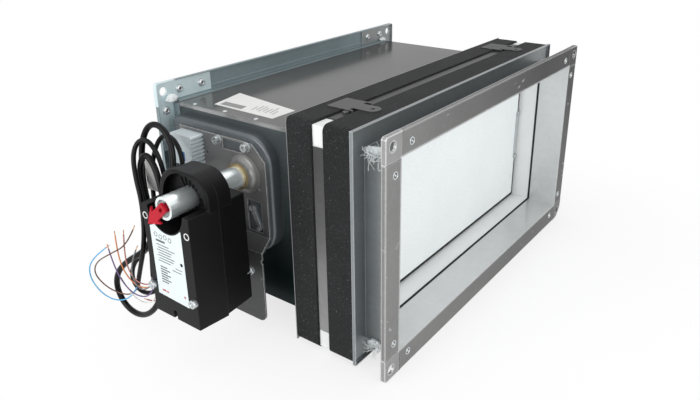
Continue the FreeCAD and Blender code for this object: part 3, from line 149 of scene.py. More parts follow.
def add_lights():
    for name, lamp in LAMPS.items():
        light = bpy.data.lights.new(name, "AREA")
        light.shape = "RECTANGLE"
        light.size, light.size_y = lamp["size"]
        light.energy = lamp["power"]
        item = bpy.data.objects.new(name, light)
        bpy.context.collection.objects.link(item)
        item.location = lamp["place"]
        item.rotation_mode = "QUATERNION"
        item.rotation_quaternion = (Vector(lamp["target"]) - Vector(lamp["place"])).to_track_quat("-Z", "Y")


def add_stage():
    mesh = bpy.data.meshes.new("floor")
    height = cad_bounds[0][2] - FLOOR_GAP
    corners = [(x * FLOOR_REACH, y * FLOOR_REACH, height) for x, y in ((-1, -1), (1, -1), (1, 1), (-1, 1))]
    mesh.from_pydata(corners, [], [(0, 1, 2, 3)])
    floor = bpy.data.objects.new("floor", mesh)
    bpy.context.collection.objects.link(floor)
    floor.data.materials.append(floor_material())


def floor_material():
    """White, and as bright as the background for the camera, more so away from the object's shadow."""
    paint = Paint("floor_white", FLOOR_WHITE, roughness=0.7, specular=0.1)
    away = paint.node("ShaderNodeVectorMath", operation="LENGTH")
    paint.link(paint.node("ShaderNodeTexCoord").outputs["Object"], away.inputs[0])
    share = paint.span(away.outputs["Value"], GLOW_SHARES, GLOW_DISTANCES)
    mixed = paint.node("ShaderNodeMixShader")
    paint.link(paint.times(share, seen_directly(paint.tree)), mixed.inputs[0])
    paint.link(paint.shader.outputs[0], mixed.inputs[1])
    paint.link(paint.node("ShaderNodeEmission").outputs[0], mixed.inputs[2])
    paint.link(mixed.outputs[0], paint.tree.nodes["Material Output"].inputs["Surface"])
    return paint.material


def seen_directly(tree):
    """One for the camera's rays and for rays that metal or glass sends on, else none."""
    path = tree.nodes.new("ShaderNodeLightPath")
    total = path.outputs["Is Camera Ray"]
    for ray in ("Is Glossy Ray", "Is Transmission Ray"):
        largest = tree.nodes.new("ShaderNodeMath")
        largest.operation = "MAXIMUM"
        tree.links.new(total, largest.inputs[0])
        tree.links.new(path.outputs[ray], largest.inputs[1])
        total = largest.outputs[0]
    return total


def add_world():
    world = bpy.data.worlds.new("studio")
    bpy.context.scene.world = world
    world.use_nodes = True
    tree = world.node_tree
    background = tree.nodes["Background"]
    background.inputs["Color"].default_value = (1, 1, 1, 1)
    strength = tree.nodes.new("ShaderNodeMapRange")
    strength.inputs["To Min"].default_value = WORLD_LIGHT
    strength.inputs["To Max"].default_value = 1.0
    tree.links.new(seen_directly(tree), strength.inputs["Value"])
    tree.links.new(strength.outputs["Result"], background.inputs["Strength"])


# Materials.

# The numbers of a Mix node's sockets for colours.
MIX_FACTOR = 0
MIX_COLORS = (6, 7)
MIX_RESULT = 2
# How much the normal turns on an edge: from where the painted edge highlight is full to where it counts as
# flat.
EDGE_TURN = (0.82, 0.995)
# The duct's inner faces are found by this much slack round its inner size.
DUCT_SLACK = 0.05
CLOUDED = 0.28
CLOUDED_INSIDE = 0.17
SCUFF = (0.6, 0.61, 0.62)
ZINC_TINT = (0.6, 0.6, 0.6, 1)


class Paint:
    """A principled material with helpers for its procedural parts."""

    def __init__(self, name, color, roughness, metallic=0.0, specular=0.5):
        self.material = bpy.data.materials.new(name)
        self.material.use_nodes = True
        self.tree = self.material.node_tree
        self.shader = self.tree.nodes["Principled BSDF"]
        self.set("Base Color", (*color, 1))
        self.set("Roughness", roughness)
        self.set("Metallic", metallic)
        self.set("Specular IOR Level", specular)

    def set(self, socket, value):
        self.shader.inputs[socket].default_value = value

    def node(self, kind, **settings):
        item = self.tree.nodes.new(kind)
        for name, value in settings.items():
            setattr(item, name, value)
        return item

    def link(self, output, socket):
        self.tree.links.new(output, socket)

    def place(self, stretch=(1, 1, 1)):
        """The object's own coordinates, squeezed along its axes."""
        source = self.node("ShaderNodeTexCoord")
        mapping = self.node("ShaderNodeMapping")
        mapping.inputs["Scale"].default_value = stretch
        self.link(source.outputs["Object"], mapping.inputs["Vector"])
        return mapping.outputs["Vector"]

    def noise(self, scale, detail, stretch=(1, 1, 1), distortion=0.0):
        item = self.node("ShaderNodeTexNoise")
        self.link(self.place(stretch), item.inputs["Vector"])
        item.inputs["Scale"].default_value = scale
        item.inputs["Detail"].default_value = detail
        item.inputs["Distortion"].default_value = distortion
        return item.outputs["Fac"]

    def cells(self, scale):
        """One random value in each cell."""
        item = self.node("ShaderNodeTexVoronoi")
        self.link(self.place(), item.inputs["Vector"])
        item.inputs["Scale"].default_value = scale
        split = self.node("ShaderNodeSeparateColor")
        self.link(item.outputs["Color"], split.inputs["Color"])
        return split.outputs["Red"]

    def span(self, value, results, limits=(0.0, 1.0)):
        """From the first result to the second while the value goes between its limits."""
        item = self.node("ShaderNodeMapRange")
        for socket, number in zip(("From Min", "From Max", "To Min", "To Max"), (*limits, *results)):
            item.inputs[socket].default_value = number
        self.link(value, item.inputs["Value"])
        return item.outputs["Result"]

    def calculate(self, operation, first, second):
        """What an operation makes of two values. Each is a number or an output."""
        item = self.node("ShaderNodeMath", operation=operation)
        for socket, value in zip(item.inputs, (first, second)):
            if isinstance(value, (int, float)):
                socket.default_value = value
            else:
                self.link(value, socket)
        return item.outputs[0]

    def plus(self, first, second):
        return self.calculate("ADD", first, second)

    def times(self, first, second):
        return self.calculate("MULTIPLY", first, second)

    def blend(self, factor, first, second):
        """A colour between two, by a factor. Each is a colour or an output."""
        item = self.node("ShaderNodeMix", data_type="RGBA")
        self.link(factor, item.inputs[MIX_FACTOR])
        for number, value in zip(MIX_COLORS, (first, second)):
            if isinstance(value, tuple):
                item.inputs[number].default_value = (*value, 1)
            else:
                self.link(value, item.inputs[number])
        return item.outputs[MIX_RESULT]

    def varied(self, factor, color, spread):
        """A colour that goes from darker to lighter by a factor."""
        return self.blend(factor, shade(color, 1 - spread), shade(color, 1 + spread))

    def soft_normal(self, radius):
        """The normal as if the edges were rounded by a radius."""
        soft = self.node("ShaderNodeBevel")
        soft.inputs["Radius"].default_value = radius
        return soft.outputs["Normal"]

    def bump(self, height, distance, strength, edge):
        """A relief, on edges rounded by a radius."""
        item = self.node("ShaderNodeBump")
        item.inputs["Strength"].default_value = strength
        item.inputs["Distance"].default_value = distance
        self.link(height, item.inputs["Height"])
        self.link(self.soft_normal(edge), item.inputs["Normal"])
        self.link(item.outputs["Normal"], self.shader.inputs["Normal"])

    def edges(self, radius):
        """One on the object's edges, none on its flat faces."""
        rounded = self.soft_normal(radius)
        product = self.node("ShaderNodeVectorMath", operation="DOT_PRODUCT")
        self.link(rounded, product.inputs[0])
        self.link(self.node("ShaderNodeNewGeometry").outputs["Normal"], product.inputs[1])
        return self.span(product.outputs["Value"], (1, 0), EDGE_TURN)

    def coordinate(self, axis):
        """The place along one axis of the object."""
        parts = self.node("ShaderNodeSeparateXYZ")
        self.link(self.node("ShaderNodeTexCoord").outputs["Object"], parts.inputs[0])
        return parts.outputs[axis]

    def within(self, half):
        """One inside a duct of these half sizes across X and Z, else none."""
        tests = [self.calculate("LESS_THAN", self.calculate("ABSOLUTE", self.coordinate(axis), 0.0), limit)
                 for axis, limit in zip("XZ", half)]
        return self.times(*tests)

    def along(self, axis, start, end):
        """From none to one along an axis of the object."""
        return self.span(self.coordinate(axis), (0, 1), (start, end))

    def colored(self, output):
        self.link(output, self.shader.inputs["Base Color"])

    def rough(self, output):
        self.link(output, self.shader.inputs["Roughness"])


def shade(color, factor):
    return tuple(min(1.0, part * factor) for part in color)


def galvanised(name, color, roughness=0.34, metallic=0.5, inside=None, wear=0.0, fades=(), rim=None):
    """Zinc-coated sheet: faint spangles, clouds and scuffs, with painted highlights on its edges.

    The inside colour is for a duct section, and paints its inner faces lighter: a painted reflection. Each
    fade is a colour and the (axis, start, end) that lead to it: a painted gradient of shade and light. A
    rim is the radius and the colour of a painted highlight on the edges.
    """
    paint = Paint(name, color, roughness, metallic, specular=0.3)
    paint.set("Specular Tint", ZINC_TINT)
    flakes = paint.times(paint.cells(scale=150), 0.1)
    clouds = paint.times(paint.noise(scale=8, detail=5, stretch=(1, 1, 0.5), distortion=0.6), 0.65)
    streaks = paint.times(paint.noise(scale=60, detail=4, stretch=(0.2, 0.2, 2.2)), 0.25)
    mixed = paint.plus(paint.plus(flakes, clouds), streaks)
    tone = paint.varied(mixed, color, CLOUDED)
    for far, *ways in fades:
        share = 1.0
        for way in ways:
            share = paint.times(paint.along(*way), share)
        tone = paint.blend(share, tone, paint.varied(mixed, far, CLOUDED))
    if inside:
        within = paint.within([(half + DUCT_SLACK) * MM for half in DUCT])
        tone = paint.blend(within, tone, paint.varied(mixed, inside, CLOUDED_INSIDE))
    if wear:
        marks = paint.noise(scale=30, detail=9, stretch=(1, 1, 3), distortion=1.6)
        scuffed = paint.span(marks, results=(0, 0.8), limits=(1 - wear, 1.05 - wear))
        tone = paint.blend(scuffed, tone, SCUFF)
    if rim:
        # The rim is a painted highlight along the edges.
        radius, edge_highlight_color = rim
        tone = paint.blend(paint.edges(radius), tone, edge_highlight_color)
    fine = paint.noise(scale=420, detail=4)
    paint.colored(tone)
    paint.rough(paint.span(fine, results=(roughness - 0.02, roughness + 0.03)))
    paint.bump(fine, distance=0.000006, strength=0.3, edge=0.0006)
    return paint.material


def insulating_board(name, color, line=0.0):
    """White mineral board with fine fibres and a faint dust. A line is how much the fibres darken it."""
    paint = Paint(name, color, roughness=0.85, specular=0.3)
    fibres = paint.noise(scale=900, detail=4, stretch=(0.12, 1, 1))
    tone = paint.blend(paint.noise(scale=12, detail=5), shade(color, 0.93), shade(color, 1.04))
    if line:
        lines = paint.span(fibres, results=(0, line), limits=(0.35, 0.7))
        tone = paint.blend(lines, tone, shade(color, 0.55))
    paint.colored(tone)
    paint.bump(fibres, distance=0.00025, strength=0.5, edge=0.0006)
    return paint.material


def rough_foam(name, color, speck):
    """Foam with pores and pale specks."""
    paint = Paint(name, color, roughness=0.75, specular=0.16)
    pores = paint.noise(scale=900, detail=6)
    grains = paint.noise(scale=330, detail=5)
    clouds = paint.times(paint.noise(scale=18, detail=4), 0.4)
    mixed = paint.plus(paint.span(pores, results=(0, 0.6), limits=(0.35, 0.75)), clouds)
    tone = paint.blend(mixed, shade(color, 0.3), shade(color, 3.0))
    specks = paint.span(paint.noise(scale=620, detail=2), results=(0, 1), limits=(0.67, 0.73))
    paint.colored(paint.blend(specks, tone, speck))
    paint.rough(paint.span(pores, results=(0.6, 0.9)))
    paint.bump(paint.plus(pores, grains), distance=0.0012, strength=0.8, edge=0.003)
    return paint.material


def plated(name, color, roughness, metallic=0.75):
    """Turned or drawn metal with faint marks."""
    paint = Paint(name, color, roughness, metallic)
    marks = paint.noise(scale=300, detail=4)
    paint.colored(paint.blend(marks, shade(color, 0.86), shade(color, 1.1)))
    paint.rough(paint.span(marks, results=(roughness * 0.9, roughness * 1.2)))
    paint.bump(marks, distance=0.000008, strength=0.3, edge=0.0004)
    return paint.material


def moulded(name, color, roughness, grain, specular=0.5, rim=None):
    """Moulded plastic with a fine grain, and a painted highlight along its edges where it has a rim colour.
    """
    paint = Paint(name, color, roughness, specular=specular)
    fine = paint.noise(scale=1500, detail=3)
    tone = paint.varied(paint.noise(scale=40, detail=3), color, spread=0.2)
    if rim:
        tone = paint.blend(paint.edges(radius=0.0012), tone, rim)
    paint.colored(tone)
    paint.rough(paint.span(fine, results=(roughness - 0.05, roughness + 0.1)))
    paint.bump(fine, distance=grain, strength=0.6, edge=0.0009)
    return paint.material


def paper(name, color):
    """A printed or plain sticker."""
    paint = Paint(name, color, roughness=0.45, specular=0.2)
    paint.colored(paint.blend(paint.noise(scale=500, detail=3), shade(color, 0.97), shade(color, 1.02)))
    return paint.material


# The colour of painted highlights on zinc edges.
EDGE_HIGHLIGHT = (0.75, 0.76, 0.76)
# The duct's inner faces, lighter than the same sheet outside: painted reflection.
LIT_FRONT_DUCT_INSIDE = (0.68, 0.69, 0.69)
LIT_REAR_DUCT_INSIDE = (0.5, 0.51, 0.52)
FLANGE_ZINC = (0.25, 0.248, 0.246)
# Painted shade: the front flange, its corners and rivet ends darken towards the upper right.
FLANGE_SHADE_TO_UPPER_RIGHT = ((0.045, 0.045, 0.045), ("X", -0.3, 0.14), ("Z", -0.4, 0.08))
# Painted shade: the front casing a little darker from 30 to 46 mm back, on its collar face.
COLLAR_FACE_SHADE = ((0.26, 0.285, 0.295), ("Y", 0.03, 0.046))
# Painted shade: the casing channel darkens to near black towards the floor.
CHANNEL_SHADE_TO_FLOOR = ((0.005, 0.013, 0.013), ("Z", 0.08, -0.08))
# Painted shade: the top sheet darkens towards the right.
TOP_SHADE_TO_RIGHT = ((0.085, 0.085, 0.084), ("X", -0.15, 0.2))
# Painted highlight: the top sheet is lighter on its lip, just below its top face.
TOP_LIP_HIGHLIGHT = ((0.36, 0.37, 0.37), ("Z", 0.1258, 0.1246))
# Painted reflection and shade: the rear corners are pale blue at the left and darken towards the right.
REAR_CORNER_SHADE_TO_RIGHT = ((0.27, 0.28, 0.28), ("X", -0.2, 0.2))
# Painted shade: the channel strips darken towards the top.
STRIP_SHADE_TO_TOP = ((0.07, 0.07, 0.07), ("Z", -0.12, 0.15))
# Painted shade: the fixing lugs darken towards the right, which takes out the far lug's reflection.
LUG_SHADE_TO_RIGHT = ((0.025, 0.028, 0.028), ("X", -0.1, 0.2))
# Painted shade: the mechanism plate darkens downwards onto its leg.
PLATE_SHADE_TO_LEG = ((0.09, 0.091, 0.093), ("Z", 0.03, -0.04))

# Copies of one zinc sheet. Rims are painted edge highlights, fades are painted shade and light, and inside
# colours are painted reflection on the duct's inner faces.
GALVANISED = {
    "galvanised": dict(color=(0.3, 0.305, 0.31)),
    "galvanised_front": dict(color=(0.28, 0.3, 0.305), roughness=0.28, inside=LIT_FRONT_DUCT_INSIDE,
                             fades=[COLLAR_FACE_SHADE], rim=(0.0012, EDGE_HIGHLIGHT)),
    "galvanised_rear": dict(color=(0.11, 0.13, 0.135), roughness=0.28, metallic=0.55, inside=LIT_REAR_DUCT_INSIDE,
                            fades=[CHANNEL_SHADE_TO_FLOOR]),
    "galvanised_top": dict(color=(0.16, 0.16, 0.159), roughness=0.17, inside=LIT_REAR_DUCT_INSIDE,
                           fades=[TOP_SHADE_TO_RIGHT, TOP_LIP_HIGHLIGHT], rim=(0.0012, (0.45, 0.45, 0.45))),
    "galvanised_flange": dict(color=FLANGE_ZINC, roughness=0.3, metallic=0.6, wear=0.32,
                              fades=[FLANGE_SHADE_TO_UPPER_RIGHT], rim=(0.0026, EDGE_HIGHLIGHT)),
    "galvanised_flush": dict(color=FLANGE_ZINC, roughness=0.3, metallic=0.6, fades=[FLANGE_SHADE_TO_UPPER_RIGHT]),
    "galvanised_flange_rear": dict(color=(0.25, 0.31, 0.33), roughness=0.38, metallic=0.45,
                                   rim=(0.001, (0.5, 0.58, 0.6))),
    "galvanised_corner": dict(color=(0.34, 0.34, 0.34), roughness=0.3, metallic=0.6,
                              fades=[FLANGE_SHADE_TO_UPPER_RIGHT], rim=(0.003, (0.88, 0.88, 0.88))),
    # Its pale blue is a painted reflection.
    "galvanised_corner_rear": dict(color=(0.68, 0.86, 0.93), roughness=0.36, metallic=0.45,
                                   fades=[REAR_CORNER_SHADE_TO_RIGHT], rim=(0.0012, (0.8, 0.9, 0.95))),
    "galvanised_strip": dict(color=(0.3, 0.3, 0.3), roughness=0.32, metallic=0.55, fades=[STRIP_SHADE_TO_TOP]),
    "galvanised_lug": dict(color=(0.085, 0.085, 0.084), fades=[LUG_SHADE_TO_RIGHT],
                           rim=(0.001, (0.3, 0.3, 0.3))),
    "galvanised_plate": dict(color=(0.19, 0.191, 0.193), roughness=0.36, wear=0.27,
                             fades=[PLATE_SHADE_TO_LEG], rim=(0.0012, EDGE_HIGHLIGHT)),
    "galvanised_housing": dict(color=(0.13, 0.145, 0.155), metallic=0.55, rim=(0.002, (0.35, 0.38, 0.4))),
    "galvanised_boss": dict(color=(0.27, 0.27, 0.267), wear=0.26),
    "galvanised_hook": dict(color=(0.55, 0.55, 0.54)),
}
BOARDS = {
    "board": dict(color=(0.87, 0.88, 0.88)),
    "blade_board": dict(color=(0.84, 0.88, 0.885), line=0.2),
}
FOAMS = {"foam": dict(color=(0.014, 0.0145, 0.015), speck=(0.16, 0.16, 0.16))}
PLATED = {
    "zinc": dict(color=(0.55, 0.58, 0.59), roughness=0.24),
    "sleeve_zinc": dict(color=(0.86, 0.94, 0.95), roughness=0.18, metallic=0.72),
    "brass": dict(color=(0.5, 0.4, 0.22), roughness=0.3),
    "copper": dict(color=(0.75, 0.4, 0.2), roughness=0.3),
    "trip_metal": dict(color=(0.66, 0.73, 0.76), roughness=0.4, metallic=0.25),
}
MOULDED = {
    "blade_foam": dict(color=(0.02, 0.026, 0.026), roughness=0.7, grain=0.0003, specular=0.2),
    # The black plastic's rim is a painted highlight along its edges.
    "black_plastic": dict(color=(0.0035, 0.0035, 0.004), roughness=0.36, grain=0.00008, specular=0.16,
                          rim=(0.03, 0.031, 0.034)),
    "red_plastic": dict(color=(0.45, 0.01, 0.025), roughness=0.4, grain=0.00003, specular=0.12),
    "cable_black": dict(color=(0.0025, 0.0025, 0.003), roughness=0.28, grain=0.00002, specular=0.2),
    "sealant": dict(color=(0.78, 0.82, 0.83), roughness=0.4, grain=0.0001),
    # Dark joints, and painted shade in the corner gaps and rivet holes.
    "dark_seam": dict(color=(0.02, 0.022, 0.024), roughness=0.6, grain=0.0002, specular=0.2),
}
CORE_COLORS = {
    "core_light_blue": (0.1, 0.42, 0.72),
    "core_brown": (0.12, 0.05, 0.025),
    "core_violet": (0.16, 0.1, 0.25),
    "core_orange": (0.72, 0.26, 0.09),
    "core_pink": (0.5, 0.2, 0.17),
    "core_white": (0.8, 0.8, 0.78),
    "core_grey": (0.18, 0.185, 0.19),
    "core_red": (0.4, 0.05, 0.03),
}
CORE_FINISH = dict(roughness=0.35, grain=0.00002)
PAPERS = {
    "white_label": (0.8, 0.8, 0.79),
    "plate_label": (0.72, 0.79, 0.8),
    "grey_print": (0.12, 0.13, 0.14),
    "grey_field": (0.28, 0.28, 0.28),
    "red_print": (0.42, 0.05, 0.06),
    "blue_label": (0.02, 0.13, 0.36),
}


def make_materials():
    """Every finish, by its name."""
    made = {}
    for maker, looks in ((galvanised, GALVANISED), (insulating_board, BOARDS), (rough_foam, FOAMS),
                         (plated, PLATED), (moulded, MOULDED)):
        for name, look in looks.items():
            made[name] = maker(name, **look)
    for name, color in CORE_COLORS.items():
        made[name] = moulded(name, color, **CORE_FINISH)
    for name, color in PAPERS.items():
        made[name] = paper(name, color)
    return made


MATERIALS = make_materials()
# Nodes whose finish isn't that of their material slot.
FINISHES = {
    "front_casing": "galvanised_front",
    "casing_channel": "galvanised_rear",
    "casing_top_sheet": "galvanised_top",
    "front_flange_bars": "galvanised_flange",
    "rear_flange_bars": "galvanised_flange_rear",
    "front_corner_pieces": "galvanised_corner",
    "rear_corner_pieces": "galvanised_corner_rear",
    "channel_strips": "galvanised_strip",
    "fixing_lugs": "galvanised_lug",
    "mechanism_plate": "galvanised_plate",
    "mechanism_housing": "galvanised_housing",
    "bearing_boss": "galvanised_boss",
    "hook_tab": "galvanised_hook",
    "shaft_sleeve": "sleeve_zinc",
    "pan_screws": "galvanised_lug",
    "blade_board": "blade_board",
    "blade_seal": "blade_foam",
}


def finish_nodes():
    """Each CAD node gets its finish."""
    slots = {part["node"]: part["material_slot"] for part in frame["record"]["subparts"]}
    for name, item in NODES.items():
        item.data.materials.clear()
        item.data.materials.append(MATERIALS[FINISHES.get(name, slots[name])])


# Pieces made here. Each rides on the casing.

ROUND_STEPS = 32


def new_object(name, data, material):
    """The piece that a mesh or a curve makes."""
    item = bpy.data.objects.new(name, data)
    bpy.context.collection.objects.link(item)
    data.materials.append(MATERIALS[material])
    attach(item, "casing")
    return item


def new_piece(name, shape, material, rounding=0.0, steps=2):
    """The piece that a bmesh makes, its edges rounded by a width in a few steps."""
    mesh = bpy.data.meshes.new(name)
    shape.to_mesh(mesh)
    shape.free()
    item = new_object(name, mesh, material)
    if rounding:
        modifier = item.modifiers.new("bevel", "BEVEL")
        modifier.width = rounding * MM
        modifier.segments = steps
    return item


def slabs(name, outlines, normal, depth, material, rounding=0.0):
    """One piece of flat slabs, each on its outline and as deep as said along the normal."""
    shape = bmesh.new()
    for outline in outlines:
        face = shape.faces.new([shape.verts.new(Vector(point) * MM) for point in outline])
        face.normal_update()
        if face.normal.dot(Vector(normal)) < 0:
            face.normal_flip()
        grown = bmesh.ops.extrude_face_region(shape, geom=[face])["geom"]
        bmesh.ops.translate(shape, vec=Vector(normal) * depth * MM,
                            verts=[part for part in grown if isinstance(part, bmesh.types.BMVert)])
    bmesh.ops.recalc_face_normals(shape, faces=shape.faces)
    return new_piece(name, shape, material, rounding)


def blocks(name, boxes, material, rounding=0.0):
    """One piece of many boxes, each a low and a high corner."""
    shape = bmesh.new()
    for low, high in boxes:
        # The cube's corners run from -0.5 to 0.5.
        for vertex in bmesh.ops.create_cube(shape, size=1.0)["verts"]:
            vertex.co = Vector(first + (second - first) * (part + 0.5)
                               for first, second, part in zip(low, high, vertex.co)) * MM
    return new_piece(name, shape, material, rounding, steps=3)


def turned(name, profile, spots, material):
    """One piece of equal round parts, each at a (place, axis), from a profile of (radius, height)."""
    shape = bmesh.new()
    for place, axis in spots:
        add_turned(shape, profile, Vector(place), Vector(axis))
    return new_piece(name, shape, material)


def add_turned(shape, profile, place, axis):
    side = axis.orthogonal().normalized()
    other = axis.cross(side)
    turns = [2 * math.pi * step / ROUND_STEPS for step in range(ROUND_STEPS)]
    rings = []
    for radius, height in profile:
        centre = place + axis * height
        spokes = [side * math.cos(turn) + other * math.sin(turn) for turn in turns] if radius else [side]
        rings.append([shape.verts.new((centre + spoke * radius) * MM) for spoke in spokes])
    faces = []
    for low, high in zip(rings, rings[1:]):
        for step in range(ROUND_STEPS):
            corners = [low[step % len(low)], low[(step + 1) % len(low)],
                       high[(step + 1) % len(high)], high[step % len(high)]]
            corners = list(dict.fromkeys(corners))
            if len(corners) > 2:
                faces.append(shape.faces.new(corners))
    bmesh.ops.recalc_face_normals(shape, faces=faces)
    for face in faces:
        face.smooth = True


def round_curve(name, diameter, steps):
    """A curve with a round section, without its lines yet."""
    curve = bpy.data.curves.new(name, "CURVE")
    curve.dimensions = "3D"
    curve.bevel_depth = diameter * MM / 2
    curve.bevel_resolution = steps
    curve.use_fill_caps = True
    return curve


def add_line(curve, route, order):
    """A smooth line from end to end, with the route's points as its control points."""
    line = curve.splines.new("NURBS")
    line.points.add(len(route) - 1)
    for point, place in zip(line.points, route):
        point.co = (*(Vector(place) * MM), 1)
    line.order_u = order
    line.use_endpoint_u = True


# Cables and cores, by the routes of the CAD model.

SIGNAL_ROUTE = [
    (-340, 270, 24), (-340, 281, 24), (-335, 289, 40), (-327, 291, 62), (-321, 294, 86),
    (-318, 303, 108), (-320, 319, 121), (-323, 336, 116), (-327, 346, 95), (-331, 347, 70),
    (-338, 340, 45), (-344, 328, 20), (-349, 317, -6), (-354, 318, -32), (-358, 337, -52),
    (-363, 364, -70), (-367, 387, -94), (-368, 393, -122), (-367, 377, -147), (-366, 346, -150),
    (-365, 316, -130), (-361, 297, -96), (-355, 287, -60), (-350, 283, -24), (-347, 287, 14),
    (-344, 295, 46), (-341, 306, 73), (-341, 322, 88), (-343, 334, 72), (-346, 332, 46),
    (-350, 320, 20), (-357, 308, -8), (-363, 305, -40), (-365, 306, -72)]
SUPPLY_ROUTE = [
    (-322, 270, 24), (-322, 281, 24), (-317, 290, 38), (-310, 293, 58), (-306, 297, 80),
    (-306, 308, 98), (-308, 323, 103), (-311, 336, 92), (-316, 345, 66), (-322, 344, 40),
    (-330, 334, 12), (-338, 320, -14), (-345, 326, -40), (-350, 350, -62), (-354, 369, -84),
    (-356, 371, -108), (-356, 350, -120), (-352, 324, -110), (-346, 308, -82), (-340, 300, -50),
    (-335, 298, -14), (-333, 299, 22), (-332, 301, 54), (-332, 308, 84), (-336, 320, 104),
    (-342, 332, 103), (-350, 336, 86), (-354, 331, 58), (-358, 319, 28), (-366, 310, -4),
    (-372, 310, -34), (-370, 327, -68), (-364, 347, -102)]
# A cable's length is in metres, and its ring is the radius that its cores leave it on.
SIGNAL = {"route": SIGNAL_ROUTE, "diameter": 8.0, "length": 0.909, "ring": 2.5}
SUPPLY = {"route": SUPPLY_ROUTE, "diameter": 6.2, "length": 0.855, "ring": 1.2}

# Each core has its cable, its angle round the cable's end face, its length in metres, and its corners.
CORES = {
    "core_blue": (SUPPLY, 90, 0.168, [
        (-371, 363, -126), (-379, 383, -132), (-386, 405, -123), (-391, 418, -98), (-389, 409, -70),
        (-381, 380, -47)]),
    "core_brown": (SUPPLY, 270, 0.21, [
        (-367, 362, -121), (-373, 380, -122), (-381, 398, -113), (-388, 409, -93), (-389, 396, -70),
        (-385, 366, -50), (-378, 336, -31), (-372, 326, -8)]),
    "core_violet": (SIGNAL, 60, 0.131, [
        (-369, 306, -92), (-372, 318, -106), (-376, 340, -107), (-380, 356, -92), (-382, 367, -68),
        (-383, 371, -45)]),
    "core_orange": (SIGNAL, 240, 0.126, [
        (-364, 314, -92), (-368, 330, -98), (-373, 346, -91), (-377, 355, -73), (-379, 358, -48),
        (-379, 357, -23)]),
    "core_pink": (SIGNAL, 180, 0.109, [
        (-369, 316, -88), (-373, 334, -87), (-375, 346, -72), (-376, 347, -46), (-376, 342, -18)]),
    "core_white": (SIGNAL, 0, 0.102, [
        (-366, 303, -95), (-368, 310, -112), (-371, 330, -120), (-374, 350, -112), (-376, 360, -95)]),
    "core_grey": (SIGNAL, 120, 0.094, [
        (-372, 311, -90), (-378, 322, -92), (-381, 330, -74), (-380, 327, -50), (-377, 318, -32)]),
    "core_red": (SIGNAL, 300, 0.078, [
        (-362, 305, -94), (-359, 312, -112), (-356, 326, -124), (-355, 344, -128)]),
}
CORE_STRAIGHT = 8.0
CORE_DIAMETER = 1.8
TIP_LENGTH = 7.0
TIP_DIAMETER = 1.3
# How much wider than its cable a strain relief is, from the gland to its thin end.
RELIEF_WIDTHS = (1.6, 1.42, 1.16)


def smooth_line(name, route, diameter, material):
    """A round line along one smooth curve."""
    curve = round_curve(name, diameter, steps=6)
    curve.resolution_u = 10
    add_line(curve, route, order=3)
    return new_object(name, curve, material)


def core_route(cable, angle, corners):
    """A core's route: square off its place on the cable's end face, then free."""
    end = Vector(cable["route"][-1])
    ahead = (end - Vector(cable["route"][-2])).normalized()
    aside = ahead.cross(Vector((1, 0, 0))).normalized()
    turn = math.radians(angle)
    start = end + (aside * math.cos(turn) + ahead.cross(aside) * math.sin(turn)) * cable["ring"]
    return [start, start + ahead * CORE_STRAIGHT] + corners


def add_cables():
    """The cables and their cores, each a curve drawn in place of its node, which is hidden. The blue core's
    slot differs.
    """
    for name, cable in (("signal_cable", SIGNAL), ("supply_cable", SUPPLY)):
        item = smooth_line(name + "_sheath", cable["route"], cable["diameter"], "cable_black")
        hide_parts(name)
    for name, (cable, angle, length, corners) in CORES.items():
        route = core_route(cable, angle, corners)
        slot = "core_light_blue" if name == "core_blue" else name
        item = smooth_line(name + "_wire", route, CORE_DIAMETER, slot)
        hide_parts(name)
        # The bare tip starts 1 mm inside its wire.
        last = Vector(route[-1])
        ahead = (last - Vector(route[-2])).normalized()
        tip = smooth_line(name + "_tip", [last - ahead, last + ahead * TIP_LENGTH / 2,
                                          last + ahead * TIP_LENGTH], TIP_DIAMETER, "copper")


def add_reliefs():
    """Tapered strain reliefs over the first bend of each cable."""
    for name, cable in (("signal", SIGNAL), ("supply", SUPPLY)):
        start, bend, after = [Vector(place) for place in cable["route"][:3]]
        item = smooth_line(name + "_relief", [start, bend, (bend + after) / 2], cable["diameter"],
                           "black_plastic")
        # The curve is one metre thick here, so that each point's radius is its own in metres.
        item.data.bevel_depth = 1.0
        for point, wide in zip(item.data.splines[0].points, RELIEF_WIDTHS):
            point.radius = wide * cable["diameter"] / 2 * MM


# Stickers and prints: generic marks only.

STICKER_THICK = 0.15
PRINT_LIFT = 0.21
PRINT_THICK = 0.05
UP = (0, 0, 1)
OUTWARD = (-1, 0, 0)
TOP_LABEL = ((-232, 312), (-174, 324), (-192, 203), (-234, 204))
# A page is where a print starts, the ways across and down it, and its normal.
TOP_PAGE = {"corner": (-231, 309, TOP), "across": (0.98, 0.19, 0), "down": (0, -1, 0), "normal": UP}
TOP_FIELD = (3, 4, 13, 40)
LABEL_SIDES = (197, 252)
LABEL_FEET = (-62, -60)
LABEL_SHOULDERS = (38, 31)
# The label follows the notch under the shaft, by its radius and its angles from straight down.
NOTCH = 32.5
NOTCH_ANGLES = range(-45, 41, 5)
LABEL_PAGE = {"corner": (FACE, 250, 26), "across": (0, -1, 0), "down": (0, 0, -1), "normal": OUTWARD}
LABEL_BARS = [(6, 10, 16, 2.6), (30, 44, 16, 1.0), (36, 40, 12, 0.9)]
LABEL_RED_BARS = [(6, 78, 6, 2.2), (13, 78.5, 5, 1.6), (46, 74, 2.4, 3.0)]
MARK_RING = ((3.0, 0), (3.0, 0.1), (2.2, 0.1), (2.2, 0))
MARKS = ((243, 22), (234.8, 20.6), (226.6, 22), (218.4, 20.6))
EYE_RING = ((4.4, 0), (4.3, 0.5), (3.7, 0.6), (3.3, 0.2), (3.2, 0), (4.4, 0))
EYES = ((258, 42), (187, 35))
LENS = ((0, 0.5), (1.6, 0.45), (2.1, 0.2), (2.2, 0))
LENS_PLACE = (202, -6)
TRIP_STICKER = ((312, 62), (324, 62), (324, 75), (312, 75))


